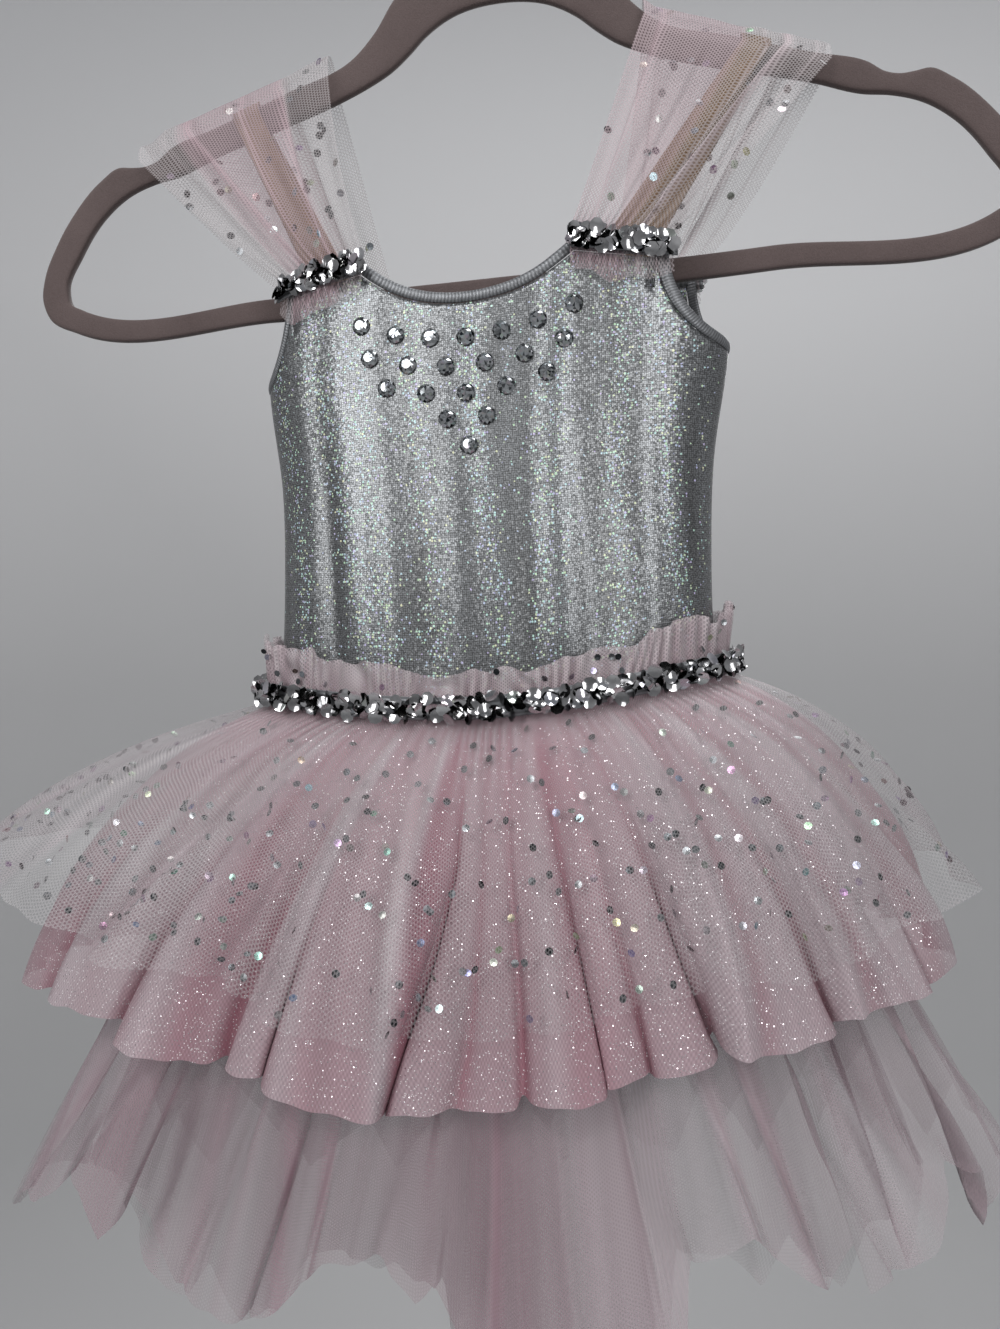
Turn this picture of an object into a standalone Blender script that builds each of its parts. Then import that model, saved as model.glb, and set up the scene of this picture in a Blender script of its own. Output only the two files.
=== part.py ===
import math

import bmesh
import bpy
import numpy as np

# A child's sleeveless dress of stretch jersey and net, hanging on a flat hanger. Metres, +Z up.
# The origin is the inner top of the hook. X runs to the viewer's right and the front faces -Y.
GAP = 0.0003
SEAM_GAP = 0.00045
NECK_SAMPLES = 6
CLOTH_WALL = 0.0012
NET_WALL = 0.0010
LAYER_STEP = 0.0015
SQUARENESS = 2.4

# The hanger swings a little, so its right side is up, and so are the dress's cross lines.
HANGER_TILT = math.radians(4)
LEAN = math.tan(HANGER_TILT)

HANGER_THICKNESS = 0.005
HANGER_ROUNDING = 0.0009
HOOK_WIRE_RADIUS = 0.00175
HOOK_BEND_RADIUS = 0.0225
HOOK_SEAT_TO_HUB = 0.074

# Half of the hanger's outline below the hook's seat, from the hub round to the bar's middle.
# Columns: across, down.
HANGER_OUTER = (
    (0.0000, 0.0740), (0.0200, 0.0762), (0.0360, 0.0825), (0.0470, 0.0925), (0.0565, 0.1055),
    (0.0670, 0.1155), (0.1000, 0.1272), (0.1340, 0.1385), (0.1560, 0.1453), (0.1630, 0.1502),
    (0.1690, 0.1518), (0.1750, 0.1515), (0.1810, 0.1508), (0.1905, 0.1560), (0.2055, 0.1705),
    (0.2150, 0.1840), (0.2215, 0.1970), (0.2235, 0.2075), (0.2200, 0.2175), (0.2092, 0.2235),
    (0.1130, 0.2280), (0.0000, 0.2295),
)
HANGER_INNER = (
    (0.0000, 0.0988), (0.0220, 0.1025), (0.0334, 0.1090), (0.0420, 0.1165), (0.0500, 0.1225),
    (0.0610, 0.1280), (0.0720, 0.1323), (0.1020, 0.1415), (0.1334, 0.1503), (0.1530, 0.1572),
    (0.1650, 0.1592), (0.1790, 0.1642), (0.1908, 0.1728), (0.2030, 0.1882), (0.2108, 0.2030),
    (0.2095, 0.2108), (0.2050, 0.2134), (0.1110, 0.2180), (0.0000, 0.2190),
)

# The dress hangs about this upright line, and heights are measured up from the waist seam.
CENTRE_X = 0.005
WAIST_Z = -0.3994
WAIST_SAG_FRONT = 0.011
WAIST_SAG_BACK = 0.006

# Columns: height above the waist, half width, half depth.
BODICE_SECTIONS = (
    (-0.012, 0.0985, 0.0410),
    (0.000, 0.0980, 0.0400),
    (0.045, 0.0962, 0.0385),
    (0.090, 0.0968, 0.0350),
    (0.1406, 0.1030, 0.0310),
    (0.190, 0.1020, 0.0285),
)
# The front's top is pulled this far round its section, to the viewer's left, and it fades
# out over a share of the way round before each side seam.
FRONT_PULL = -0.0095
PULL_DONE_HEIGHT = 0.14
PULL_FADE_SHARE = 0.09
FOLDS_START_HEIGHT = 0.030
# The folds keep this share of their rise at the bodice's top.
FOLDS_TOP_SHARE = 0.4
FOLDS_TOP_HEIGHT = 0.17
# The waist's sag is gone at this height.
SAG_DONE_HEIGHT = 0.12

NECK_HALF_FRONT = 0.045
NECK_HALF_BACK = 0.053
NECK_HEIGHT_FRONT = 0.1660
NECK_HEIGHT_BACK = 0.1600
NECK_CURVE = 2.2
STRAP_BASE_WIDTH = 0.040
STRAP_BASE_INNER_HEIGHT = 0.1836
STRAP_BASE_OUTER_HEIGHT = 0.1776
UNDERARM_HEIGHT = 0.1406
ARMHOLE_CURVE = 2.2
BINDING_WIDTH = 0.0045
BINDING_WALL = 0.0020

# Soft upright folds of the bodice front and back.
# Columns: distance from the middle, spread, rise.
FRONT_FOLDS = (
    (-0.078, 0.008, 0.0015),
    (-0.050, 0.010, 0.0022),
    (-0.022, 0.008, -0.0014),
    (0.006, 0.009, 0.0012),
    (0.034, 0.009, 0.0024),
    (0.062, 0.010, -0.0014),
    (0.084, 0.008, 0.0016),
)
BACK_FOLDS = (
    (-0.070, 0.010, 0.0018),
    (-0.028, 0.011, -0.0014),
    (0.012, 0.010, 0.0020),
    (0.055, 0.011, 0.0015),
)

# Columns: side, middle of the net strap's top and of the elastic's, across the hanger,
# half of the net's spread there, and how far the net stands above the arm at each end.
STRAPS = (
    ("left", -0.1230, -0.1180, 0.0455, 0.0080, 0.0050),
    ("right", 0.1010, 0.1095, 0.0385, 0.0038, 0.0038),
)
STRAP_NET_HALF_BASE = 0.0205
STRAP_NET_WAVES = 6
STRAP_NET_OUT = 0.0027
STRAP_NET_GATHER = 0.0008
STRAP_NET_PUFF = 0.0075
STRAP_NET_RIPPLE = 0.0020
# The net's fold over the arm starts this far under the lift and bulges up from there.
STRAP_NET_FOLD_HALF_DEPTH = 0.0078
STRAP_NET_FOLD_FOOT = -0.0085
STRAP_NET_FOLD_RISE = 0.0095
# Where the net meets the bodice's edge: its tail, its stitching and its first free row.
STRAP_TAIL = 0.0135
STRAP_TAIL_OUT = 0.0012
STRAP_SEAM_DROP = 0.002
STRAP_FREE_RISE = 0.004
ELASTIC_WIDTH = 0.012
ELASTIC_FOLD_RADIUS = 0.0043
ELASTIC_FOLD_SINK = 0.0025
STRAP_TRIM_HEIGHT = 0.0085
STRAP_TRIM_OUT = 0.0050
STRAP_TRIM_TOP = 0.0035
STRAP_TRIM_OVERHANG = 0.001

# Each skirt layer spreads from its seam to its hem.
# Columns: steps outside the bodice, half width at the hem to the left and to the right, half
# depth at the hem, drop at the sides, front and back, how round its profile is, waves, wave
# depth, points of its hem, and their depth.
SKIRT_COLUMNS = (
    "steps", "left", "right", "deep", "drop_side", "drop_front", "drop_back", "curve",
    "waves", "wave", "points", "point",
)
SKIRT_ROWS = {
    "skirt_inner": (1, 0.192, 0.190, 0.076, 0.232, 0.258, 0.252, 0.00, 0, 0.0, 10, 0.052),
    "skirt_under": (2, 0.226, 0.222, 0.093, 0.222, 0.242, 0.236, 0.04, 24, 0.0072, 12, 0.048),
    "skirt_glitter": (3, 0.217, 0.192, 0.093, 0.120, 0.142, 0.138, 0.55, 26, 0.0070, 0, 0.0),
}
# The overskirt ends at this share of the glitter skirt's length, and lies a step outside it.
OVERLAY_SHARE = 0.90
OVERLAY_STEPS = 4
OVERLAY_RISE = 0.0015
# Columns: layer, places across each half, levels from seam to hem, material.
SKIRT_BUILDS = (
    ("skirt_inner", 36, (0, 0.2, 0.55, 1), "under"),
    ("skirt_under", 53, (0, 0.2, 0.55, 1), "under"),
    ("skirt_glitter", 60, (0, 0.12, 0.35, 0.65, 1), "glitter"),
    ("skirt_overlay", 60, (0, 0.12, 0.35, 0.65, OVERLAY_SHARE), "overlay"),
)
# How far the overskirt lifts off the glitter skirt at its hem, to the left, right, front, back.
OVERLAY_LIFT = (0.046, 0.016, 0.009, 0.012)
OVERLAY_LIFT_SLOPE = math.radians(52)
OVERLAY_LIFT_CURVE = 1.4
OVERLAY_CLEAR_ALONG = 0.3

HEM_SQUARENESS = 2.15
# The waves drift round the layer by these parts of a turn, twice and four times a round, and
# each carries a smaller one of twice its number.
WAVE_DRIFT = (0.045, 0.025)
WAVE_SECOND = 0.18
# The hem's points turn on from layer to layer, and this power rounds them.
POINT_TURN = 0.7
POINT_ROUNDING = 0.8

# Heights here are above the waist line. The skirts' bands stand up under the sequin band.
SKIRT_TOP = -0.0045
SEAM_BAND = 0.0055
TRIM_BOTTOM = -0.0024
TRIM_HEIGHT = 0.0095
TRIM_CLEARANCE = 0.0012
HEADER_BOTTOM = 0.0030
HEADER_HEIGHT = (0.0220, 0.0135, 0.0175)
HEADER_FLARE = (0.0008, 0.0020, 0.0020)
HEADER_WAVES = 36
HEADER_WAVE = 0.0014
HEADER_WAVE_FOOT_SHARE = 0.15

# Round stones on the chest, in rows below the neckline.
# Columns: stones in the row, drop of its middle below the neck, distance between, rise at its ends.
STONE_ROWS = (
    (7, 0.0192, 0.0152, 0.0096),
    (6, 0.0312, 0.0166, 0.0072),
    (5, 0.0429, 0.0172, 0.0054),
    (2, 0.0533, 0.0170, 0.0000),
    (1, 0.0645, 0.0000, 0.0000),
)
STONES_MIDDLE = 0.0005
STONE_RADIUS = 0.0039
STONE_TABLE_RADIUS = 0.0021
STONE_HEIGHT = 0.0021
STONE_OUT = 0.0012
STONE_SIDES = 7


def clear_scene():
    for old in list(bpy.data.objects):
        bpy.data.objects.remove(old, do_unlink=True)


def make_material(name, colour, roughness, metallic):
    material = bpy.data.materials.new(name)
    material.use_nodes = True
    shader = material.node_tree.nodes["Principled BSDF"]
    shader.inputs["Base Color"].default_value = (*colour, 1)
    shader.inputs["Roughness"].default_value = roughness
    shader.inputs["Metallic"].default_value = metallic
    return material


def smooth_step(value):
    held = np.clip(value, 0, 1)
    return held * held * (3 - 2 * held)


def ring_length_table(half_width, half_depth, squareness):
    turn = np.linspace(-math.pi, math.pi, 1441)
    sine = np.sin(turn)
    cosine = np.cos(turn)
    x = half_width * np.sign(sine) * np.abs(sine) ** (2 / squareness)
    y = -half_depth * np.sign(cosine) * np.abs(cosine) ** (2 / squareness)
    length = np.concatenate([[0], np.cumsum(np.hypot(np.diff(x), np.diff(y)))])
    return x, y, length


def ring_length(half_width, half_depth, squareness=SQUARENESS):
    return ring_length_table(half_width, half_depth, squareness)[2][-1]


def ring(half_width, half_depth, shares, squareness=SQUARENESS):
    # A share is a part of the way round, from the front's middle towards the viewer's right.
    x, y, length = ring_length_table(half_width, half_depth, squareness)
    along = length / length[-1] - 0.5
    wrapped = (np.asarray(shares) + 0.5) % 1 - 0.5
    return np.interp(wrapped, along, x), np.interp(wrapped, along, y)


def ring_outward(half_width, half_depth, shares, squareness=SQUARENESS):
    before = ring(half_width, half_depth, np.asarray(shares) - 0.002, squareness)
    after = ring(half_width, half_depth, np.asarray(shares) + 0.002, squareness)
    along_x = after[0] - before[0]
    along_y = after[1] - before[1]
    length = np.hypot(along_x, along_y)
    return along_y / length, -along_x / length


def by_side(shares, left, right, front, back):
    # One value for each of the four sides, blended round the ring.
    angle = 2 * math.pi * np.asarray(shares)
    across = np.sin(angle)
    ahead = np.cos(angle)
    sides = np.where(across > 0, right, left) * across**2
    return sides + np.where(ahead > 0, front, back) * ahead**2


def lean(x, z):
    return z + LEAN * x


def waist_level(shares):
    return WAIST_Z - by_side(shares, 0, 0, WAIST_SAG_FRONT, WAIST_SAG_BACK)


CHEST_LENGTH = ring_length(BODICE_SECTIONS[4][1], BODICE_SECTIONS[4][2])
SIDE_SEAM = CHEST_LENGTH / 4
# Columns: panel, half width of its neckline, height of its middle, and where its middle lies.
BODICE_PANELS = (
    ("front", NECK_HALF_FRONT, NECK_HEIGHT_FRONT, 0.0),
    ("back", NECK_HALF_BACK, NECK_HEIGHT_BACK, 2 * SIDE_SEAM),
)


def fold_rise(across, height, folds):
    rise = np.zeros_like(across)
    for place, spread, size in folds:
        rise = rise + size * np.exp(-(((across - place) / spread) ** 2))
    fade = (1 - FOLDS_TOP_SHARE) * smooth_step(height / FOLDS_TOP_HEIGHT)
    return rise * smooth_step(height / FOLDS_START_HEIGHT) * (1 - fade)


def bodice_point(across, height, out=0.0):
    # Across is measured round the chest from the front's middle, and out is off the wall's middle.
    across, height = np.broadcast_arrays(np.asarray(across, float), np.asarray(height, float))
    levels, widths, depths = (np.array(column) for column in zip(*BODICE_SECTIONS))
    half_width = np.interp(height, levels, widths)
    half_depth = np.interp(height, levels, depths)
    from_front = (across + 2 * SIDE_SEAM) % (4 * SIDE_SEAM) - 2 * SIDE_SEAM
    shares = from_front / CHEST_LENGTH
    pulled = smooth_step(height / PULL_DONE_HEIGHT)
    pulled = pulled * smooth_step((0.25 - np.abs(shares)) / PULL_FADE_SHARE)
    places = shares + FRONT_PULL / CHEST_LENGTH * pulled
    flat = zip(half_width.ravel(), half_depth.ravel(), places.ravel())
    found = np.array([(*ring(w, d, s), *ring_outward(w, d, s)) for w, d, s in flat])
    x, y, out_x, out_y = np.moveaxis(found.reshape(across.shape + (4,)), -1, 0)
    from_back = from_front - np.sign(from_front) * 2 * SIDE_SEAM
    rise = np.where(
        np.abs(shares) < 0.25,
        fold_rise(from_front, height, FRONT_FOLDS),
        fold_rise(from_back, height, BACK_FOLDS),
    )
    sag = (WAIST_Z - waist_level(shares)) * (1 - smooth_step(height / SAG_DONE_HEIGHT))
    x = x + out_x * (out + rise)
    y = y + out_y * (out + rise)
    return np.stack([CENTRE_X + x, y, lean(x, WAIST_Z + height - sag)], axis=-1)


def half_edge(neck_half, neck_height, inset=0.0):
    # The bodice's top edge on one side: neckline, strap base and armhole, as across and height.
    neck_across = np.linspace(0, 1, NECK_SAMPLES)
    neck = np.stack([
        neck_half * neck_across,
        neck_height + (STRAP_BASE_INNER_HEIGHT - neck_height) * neck_across**NECK_CURVE,
    ], axis=1)
    base_share = np.array([[1 / 3], [2 / 3], [1.0]])
    base_start = np.array([neck_half, STRAP_BASE_INNER_HEIGHT])
    base_end = np.array([neck_half + STRAP_BASE_WIDTH, STRAP_BASE_OUTER_HEIGHT])
    base = base_start + (base_end - base_start) * base_share
    angle = np.linspace(0, math.pi / 2, 8)[1:]
    power = 2 / ARMHOLE_CURVE
    arm_across = 1 - np.abs(np.cos(angle)) ** power
    arm_across[-1] = 1
    armhole = np.stack([
        base_end[0] + (SIDE_SEAM - base_end[0]) * arm_across,
        base_end[1] - (base_end[1] - UNDERARM_HEIGHT) * np.sin(angle) ** power,
    ], axis=1)
    edge = np.concatenate([neck, base, armhole])
    mirrored = np.array([[-edge[1, 0], edge[1, 1]]])
    beyond = np.array([[2 * SIDE_SEAM - edge[-2, 0], edge[-2, 1]]])
    steps = np.diff(np.concatenate([mirrored, edge, beyond]), axis=0)
    steps /= np.linalg.norm(steps, axis=1)[:, None]
    normals = np.stack([-steps[:, 1], steps[:, 0]], axis=1)
    mitre = normals[:-1] + normals[1:]
    mitre /= (mitre * normals[1:]).sum(axis=1)[:, None]
    return edge - inset * mitre


def full_edge(neck_half, neck_height, inset=0.0):
    right = half_edge(neck_half, neck_height, inset)
    left = right[:0:-1] * (-1, 1)
    return np.concatenate([left, right])


def grid_object(name, points, wall, material, collection, closed=False, offset=0.0):
    # Points are rows by columns. The wall grows to both sides of them, or to one.
    rows, columns = points.shape[:2]
    mesh = bpy.data.meshes.new(name)
    last = columns if closed else columns - 1
    faces = []
    for row in range(rows - 1):
        for column in range(last):
            following = (column + 1) % columns
            lower = row * columns
            upper = lower + columns
            faces.append((lower + column, lower + following, upper + following, upper + column))
    mesh.from_pydata(points.reshape(-1, 3).tolist(), [], faces)
    mesh.materials.append(material)
    made = bpy.data.objects.new(name, mesh)
    collection.objects.link(made)
    solid = made.modifiers.new("wall", "SOLIDIFY")
    solid.thickness = wall
    solid.offset = offset
    solid.use_even_offset = True
    solid.thickness_clamp = 0
    return made


def build_bodice(materials, collection):
    levels = np.linspace(0, 1, 7)[:, None]
    for name, neck_half, neck_height, middle in BODICE_PANELS:
        top = full_edge(neck_half, neck_height, BINDING_WIDTH + SEAM_GAP)
        seam = SIDE_SEAM - SEAM_GAP / 2
        bottom_across = np.linspace(-seam, seam, len(top))
        edge_across = np.clip(top[:, 0], -seam, seam)
        share = smooth_step(levels) * 0.35 + levels * 0.65
        across = bottom_across + (edge_across - bottom_across) * share
        height = (top[:, 1] + SEAM_BAND) * levels - SEAM_BAND
        points = bodice_point(across + middle, height)
        grid_object(f"bodice_{name}", points, CLOTH_WALL, materials["foil_jersey"], collection)


def build_bindings(materials, collection):
    binding = materials["binding"]
    for name, neck_half, neck_height, middle in BODICE_PANELS:
        inner = full_edge(neck_half, neck_height, BINDING_WIDTH)
        strip = np.stack([inner, full_edge(neck_half, neck_height)])
        split = NECK_SAMPLES + 1
        strip = strip[:, len(strip[0]) // 2 - split : len(strip[0]) // 2 + split + 1]
        points = bodice_point(middle + strip[..., 0], strip[..., 1])
        grid_object(f"neck_binding_{name}", points, BINDING_WALL, binding, collection)
    halves = []
    for _, neck_half, neck_height, _ in BODICE_PANELS:
        inner = half_edge(neck_half, neck_height, BINDING_WIDTH)[NECK_SAMPLES + 1 :]
        outer = half_edge(neck_half, neck_height)[NECK_SAMPLES + 1 :]
        strip = np.stack([inner, outer])
        strip[:, 0, 0] += SEAM_GAP
        halves.append(strip)
    front, back = halves
    around = np.array([2 * SIDE_SEAM, 0]) + back[:, -2::-1] * (-1, 1)
    strip = np.concatenate([front, around], axis=1)
    for side_name, side in (("left", -1), ("right", 1)):
        points = bodice_point(side * strip[..., 0], strip[..., 1])
        grid_object(f"armhole_binding_{side_name}", points, BINDING_WALL, binding, collection)


def hanger_to_world(points):
    # Local across, depth and up, swung with the hanger about the hook's seat.
    points = np.asarray(points, float)
    sine = math.sin(HANGER_TILT)
    cosine = math.cos(HANGER_TILT)
    x = cosine * points[..., 0] - sine * points[..., 2]
    z = sine * points[..., 0] + cosine * points[..., 2]
    return np.stack([x, points[..., 1], z], axis=-1)


def arm_top(across):
    outline = np.array(HANGER_OUTER[:14])
    return -np.interp(np.abs(across), outline[:, 0], outline[:, 1])


def strap_edge_height(from_middle):
    middle = (STRAP_BASE_INNER_HEIGHT + STRAP_BASE_OUTER_HEIGHT) / 2
    slope = (STRAP_BASE_OUTER_HEIGHT - STRAP_BASE_INNER_HEIGHT) / STRAP_BASE_WIDTH
    return middle + slope * from_middle


def strap_base_point(side, from_middle, height, facing, out):
    # Facing is 1 on the front and -1 on the back, where across runs the other way.
    neck_half = NECK_HALF_FRONT if facing > 0 else NECK_HALF_BACK
    across = neck_half + STRAP_BASE_WIDTH / 2 + from_middle
    if facing < 0:
        across = 2 * SIDE_SEAM - across
    return bodice_point(side * across, height, out)


def build_elastic(side_name, side, top_middle, materials, collection):
    across = np.linspace(-1, 1, 3) * ELASTIC_WIDTH / 2
    local_across = top_middle + across * side
    rows = []
    angles = np.radians(np.linspace(-90, 90, 7))
    for angle in angles:
        depth = ELASTIC_FOLD_RADIUS * math.sin(angle)
        rise = ELASTIC_FOLD_RADIUS * math.cos(angle) - ELASTIC_FOLD_SINK
        local = np.stack([
            local_across,
            np.full(3, depth),
            arm_top(local_across) + rise,
        ], axis=1)
        rows.append(hanger_to_world(local))
    folded = np.array(rows)
    ends = []
    for facing in (1, -1):
        height = strap_edge_height(across) + 2 * GAP
        ends.append(strap_base_point(side, across, height, facing, 0.0))
    front_rise = [ends[0] + (folded[0] - ends[0]) * share for share in (0, 0.33, 0.67)]
    back_fall = [folded[-1] + (ends[1] - folded[-1]) * share for share in (0.33, 0.67, 1)]
    points = np.concatenate([front_rise, folded, back_fall])
    name = f"strap_elastic_{side_name}"
    grid_object(name, points, NET_WALL, materials["elastic"], collection)


def strap_net_rows(side, top_middle, half_top, lifts, facing):
    share = np.linspace(-1, 1, 3 * STRAP_NET_WAVES + 1)
    wave = np.cos(math.pi * STRAP_NET_WAVES * (share + 1))
    from_middle = share * STRAP_NET_HALF_BASE
    edge_height = strap_edge_height(from_middle)
    gathered = STRAP_NET_OUT + STRAP_NET_GATHER * wave
    tail_out = gathered + STRAP_TAIL_OUT
    tail = strap_base_point(side, from_middle, edge_height - STRAP_TAIL, facing, tail_out)
    seam = strap_base_point(side, from_middle, edge_height - STRAP_SEAM_DROP, facing, gathered)
    base = strap_base_point(side, from_middle, edge_height + STRAP_FREE_RISE, facing, gathered)
    local_across = top_middle + share * half_top * side
    lift = np.interp(share, (-1, 1), lifts)
    below_fold = hanger_to_world(np.stack([
        local_across,
        np.full(share.shape, -facing * STRAP_NET_FOLD_HALF_DEPTH),
        arm_top(local_across) + lift + STRAP_NET_FOLD_FOOT,
    ], axis=1))
    rows = [tail, seam, base]
    for rise in (0.25, 0.55, 0.82):
        row = base + (below_fold - base) * rise
        row[:, 0] = base[:, 0] + (below_fold[:, 0] - base[:, 0]) * rise**0.85
        fullness = math.sin(math.pi * rise)
        row[:, 1] -= facing * (STRAP_NET_PUFF * fullness**0.7 + STRAP_NET_RIPPLE * fullness * wave)
        rows.append(row)
    rows.append(below_fold)
    return rows


def build_strap_net(side_name, side, top_middle, half_top, lifts, materials, collection):
    front = strap_net_rows(side, top_middle, half_top, lifts, 1)
    back = strap_net_rows(side, top_middle, half_top, lifts, -1)
    share = np.linspace(-1, 1, 3 * STRAP_NET_WAVES + 1)
    local_across = top_middle + share * half_top * side
    fold_foot = arm_top(local_across) + np.interp(share, (-1, 1), lifts) + STRAP_NET_FOLD_FOOT
    fold = []
    for angle in np.radians((-45, 0, 45)):
        fold.append(hanger_to_world(np.stack([
            local_across,
            np.full(share.shape, STRAP_NET_FOLD_HALF_DEPTH * math.sin(angle)),
            fold_foot + STRAP_NET_FOLD_RISE * math.cos(angle),
        ], axis=1)))
    points = np.array(front + fold + back[::-1])
    grid_object(f"strap_net_{side_name}", points, NET_WALL, materials["strap_net"], collection)


def build_strap_trims(side_name, side, materials, collection):
    from_middle = np.linspace(-1, 1, 9) * (STRAP_NET_HALF_BASE + STRAP_TRIM_OVERHANG)
    top = strap_edge_height(from_middle) + STRAP_TRIM_TOP
    for end, facing in (("front", 1), ("back", -1)):
        rows = [
            strap_base_point(side, from_middle, top - drop, facing, STRAP_TRIM_OUT)
            for drop in (STRAP_TRIM_HEIGHT, STRAP_TRIM_HEIGHT / 2, 0)
        ]
        name = f"strap_trim_{end}_{side_name}"
        grid_object(name, np.array(rows), NET_WALL, materials["sequins"], collection)


def seam_ring_size(steps):
    # Half width and half depth of a skirt layer's seam, so many steps outside the bodice.
    out = CLOTH_WALL / 2 + GAP + (steps - 0.5) * LAYER_STEP
    return BODICE_SECTIONS[1][1] + out, BODICE_SECTIONS[1][2] + out + GAP * 5


def hem_ring_size(layer):
    size = dict(zip(SKIRT_COLUMNS, SKIRT_ROWS[layer]))
    return (size["left"] + size["right"]) / 2, size["deep"]


def skirt_point(layer, shares, along, extra_step=0):
    # Along runs from the seam, 0, to the hem, 1. Shares is a row of places round the layer.
    size = dict(zip(SKIRT_COLUMNS, SKIRT_ROWS[layer]))
    width, depth = seam_ring_size(size["steps"] + extra_step)
    half_hem, deep_hem = hem_ring_size(layer)
    bend = size["curve"] * along * (1 - along)
    spread = along + bend
    top_x, top_y = ring(width, depth, shares)
    hem_x, hem_y = ring(half_hem, deep_hem, shares, HEM_SQUARENESS)
    hem_x = hem_x * np.where(hem_x > 0, size["right"], size["left"]) / half_hem
    out_x, out_y = ring_outward(half_hem, deep_hem, shares, HEM_SQUARENESS)
    angle = 2 * math.pi * shares
    drift = WAVE_DRIFT[0] * np.sin(2 * angle) + WAVE_DRIFT[1] * np.sin(4 * angle)
    phase = size["waves"] * (angle + drift)
    ripple = size["wave"] * along * (np.sin(phase) + WAVE_SECOND * np.sin(2 * phase))
    drop = by_side(shares, size["drop_side"], size["drop_side"], size["drop_front"], size["drop_back"])
    if size["points"]:
        turned = size["points"] * angle / 2 + POINT_TURN * size["steps"]
        drop = drop + size["point"] * (0.5 - np.abs(np.sin(turned)) ** POINT_ROUNDING)
    x = top_x + (hem_x - top_x) * spread + out_x * ripple
    y = top_y + (hem_y - top_y) * spread + out_y * ripple
    z = waist_level(shares) + SKIRT_TOP - drop * (along - bend)
    return np.stack([CENTRE_X + x, y, lean(x, z)], axis=-1)


def overlay_point(shares, along):
    # The overskirt is the glitter skirt's own form, lifted off it more and more to its hem.
    points = skirt_point("skirt_glitter", shares, along, extra_step=1)
    out_x, out_y = ring_outward(*hem_ring_size("skirt_glitter"), shares, HEM_SQUARENESS)
    lift = by_side(shares, *OVERLAY_LIFT) * (along / OVERLAY_SHARE) ** OVERLAY_LIFT_CURVE
    clear = LAYER_STEP * 1.5 * smooth_step(along / OVERLAY_CLEAR_ALONG)
    away = clear + lift * math.cos(OVERLAY_LIFT_SLOPE)
    points[..., 0] += out_x * away
    points[..., 1] += out_y * away
    points[..., 2] += OVERLAY_RISE + lift * math.sin(OVERLAY_LIFT_SLOPE)
    return points


def build_skirt(name, columns, levels, material, collection):
    is_overlay = name == "skirt_overlay"
    steps = OVERLAY_STEPS if is_overlay else SKIRT_ROWS[name][0]
    seam_length = ring_length(*seam_ring_size(steps))
    hem_length = ring_length(*hem_ring_size("skirt_glitter" if is_overlay else name))
    for end, middle in (("front", 0.0), ("back", 0.5)):
        rows = []
        for along in levels:
            length = seam_length + (hem_length - seam_length) * along
            edge = 0.25 - SEAM_GAP / 2 / length
            shares = np.linspace(-edge, edge, columns) + middle
            rows.append(overlay_point(shares, along) if is_overlay else skirt_point(name, shares, along))
        band = rows[0].copy()
        band[:, 2] += SEAM_BAND
        grid_object(f"{name}_{end}", np.array([band] + rows), NET_WALL, material, collection)


def waist_ring(clearance, shares, height, flare=0.0):
    # A ring about the overskirt's seam, so high above the waist line.
    width, depth = seam_ring_size(OVERLAY_STEPS)
    width += clearance
    depth += clearance
    x, y = ring(width, depth, shares)
    out_x, out_y = ring_outward(width, depth, shares)
    x = x + out_x * flare
    y = y + out_y * flare
    return np.stack([CENTRE_X + x, y, lean(x, waist_level(shares) + height)], axis=-1)


def build_header(material, collection):
    shares = np.linspace(-0.5, 0.5, 3 * HEADER_WAVES + 1)[:-1]
    side_height, front_height, back_height = HEADER_HEIGHT
    side_flare, front_flare, back_flare = HEADER_FLARE
    height = by_side(shares, side_height, side_height, front_height, back_height)
    flare = by_side(shares, side_flare, side_flare, front_flare, back_flare)
    wave = HEADER_WAVE * np.sin(2 * math.pi * HEADER_WAVES * shares)
    bottom = waist_ring(0.0, shares, HEADER_BOTTOM, HEADER_WAVE_FOOT_SHARE * wave)
    top = waist_ring(0.0, shares, HEADER_BOTTOM + height, flare + wave)
    points = np.stack([bottom, top])
    grid_object("waist_header_frill", points, NET_WALL, material, collection, closed=True)


def build_waist_trim(material, collection):
    shares = np.linspace(-0.5, 0.5, 61)[:-1]
    out = LAYER_STEP + TRIM_CLEARANCE
    bottom = waist_ring(out, shares, TRIM_BOTTOM)
    top = waist_ring(out, shares, TRIM_BOTTOM + TRIM_HEIGHT)
    points = np.stack([bottom, top])
    grid_object("waist_sequin_trim", points, NET_WALL, material, collection, closed=True)


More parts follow.
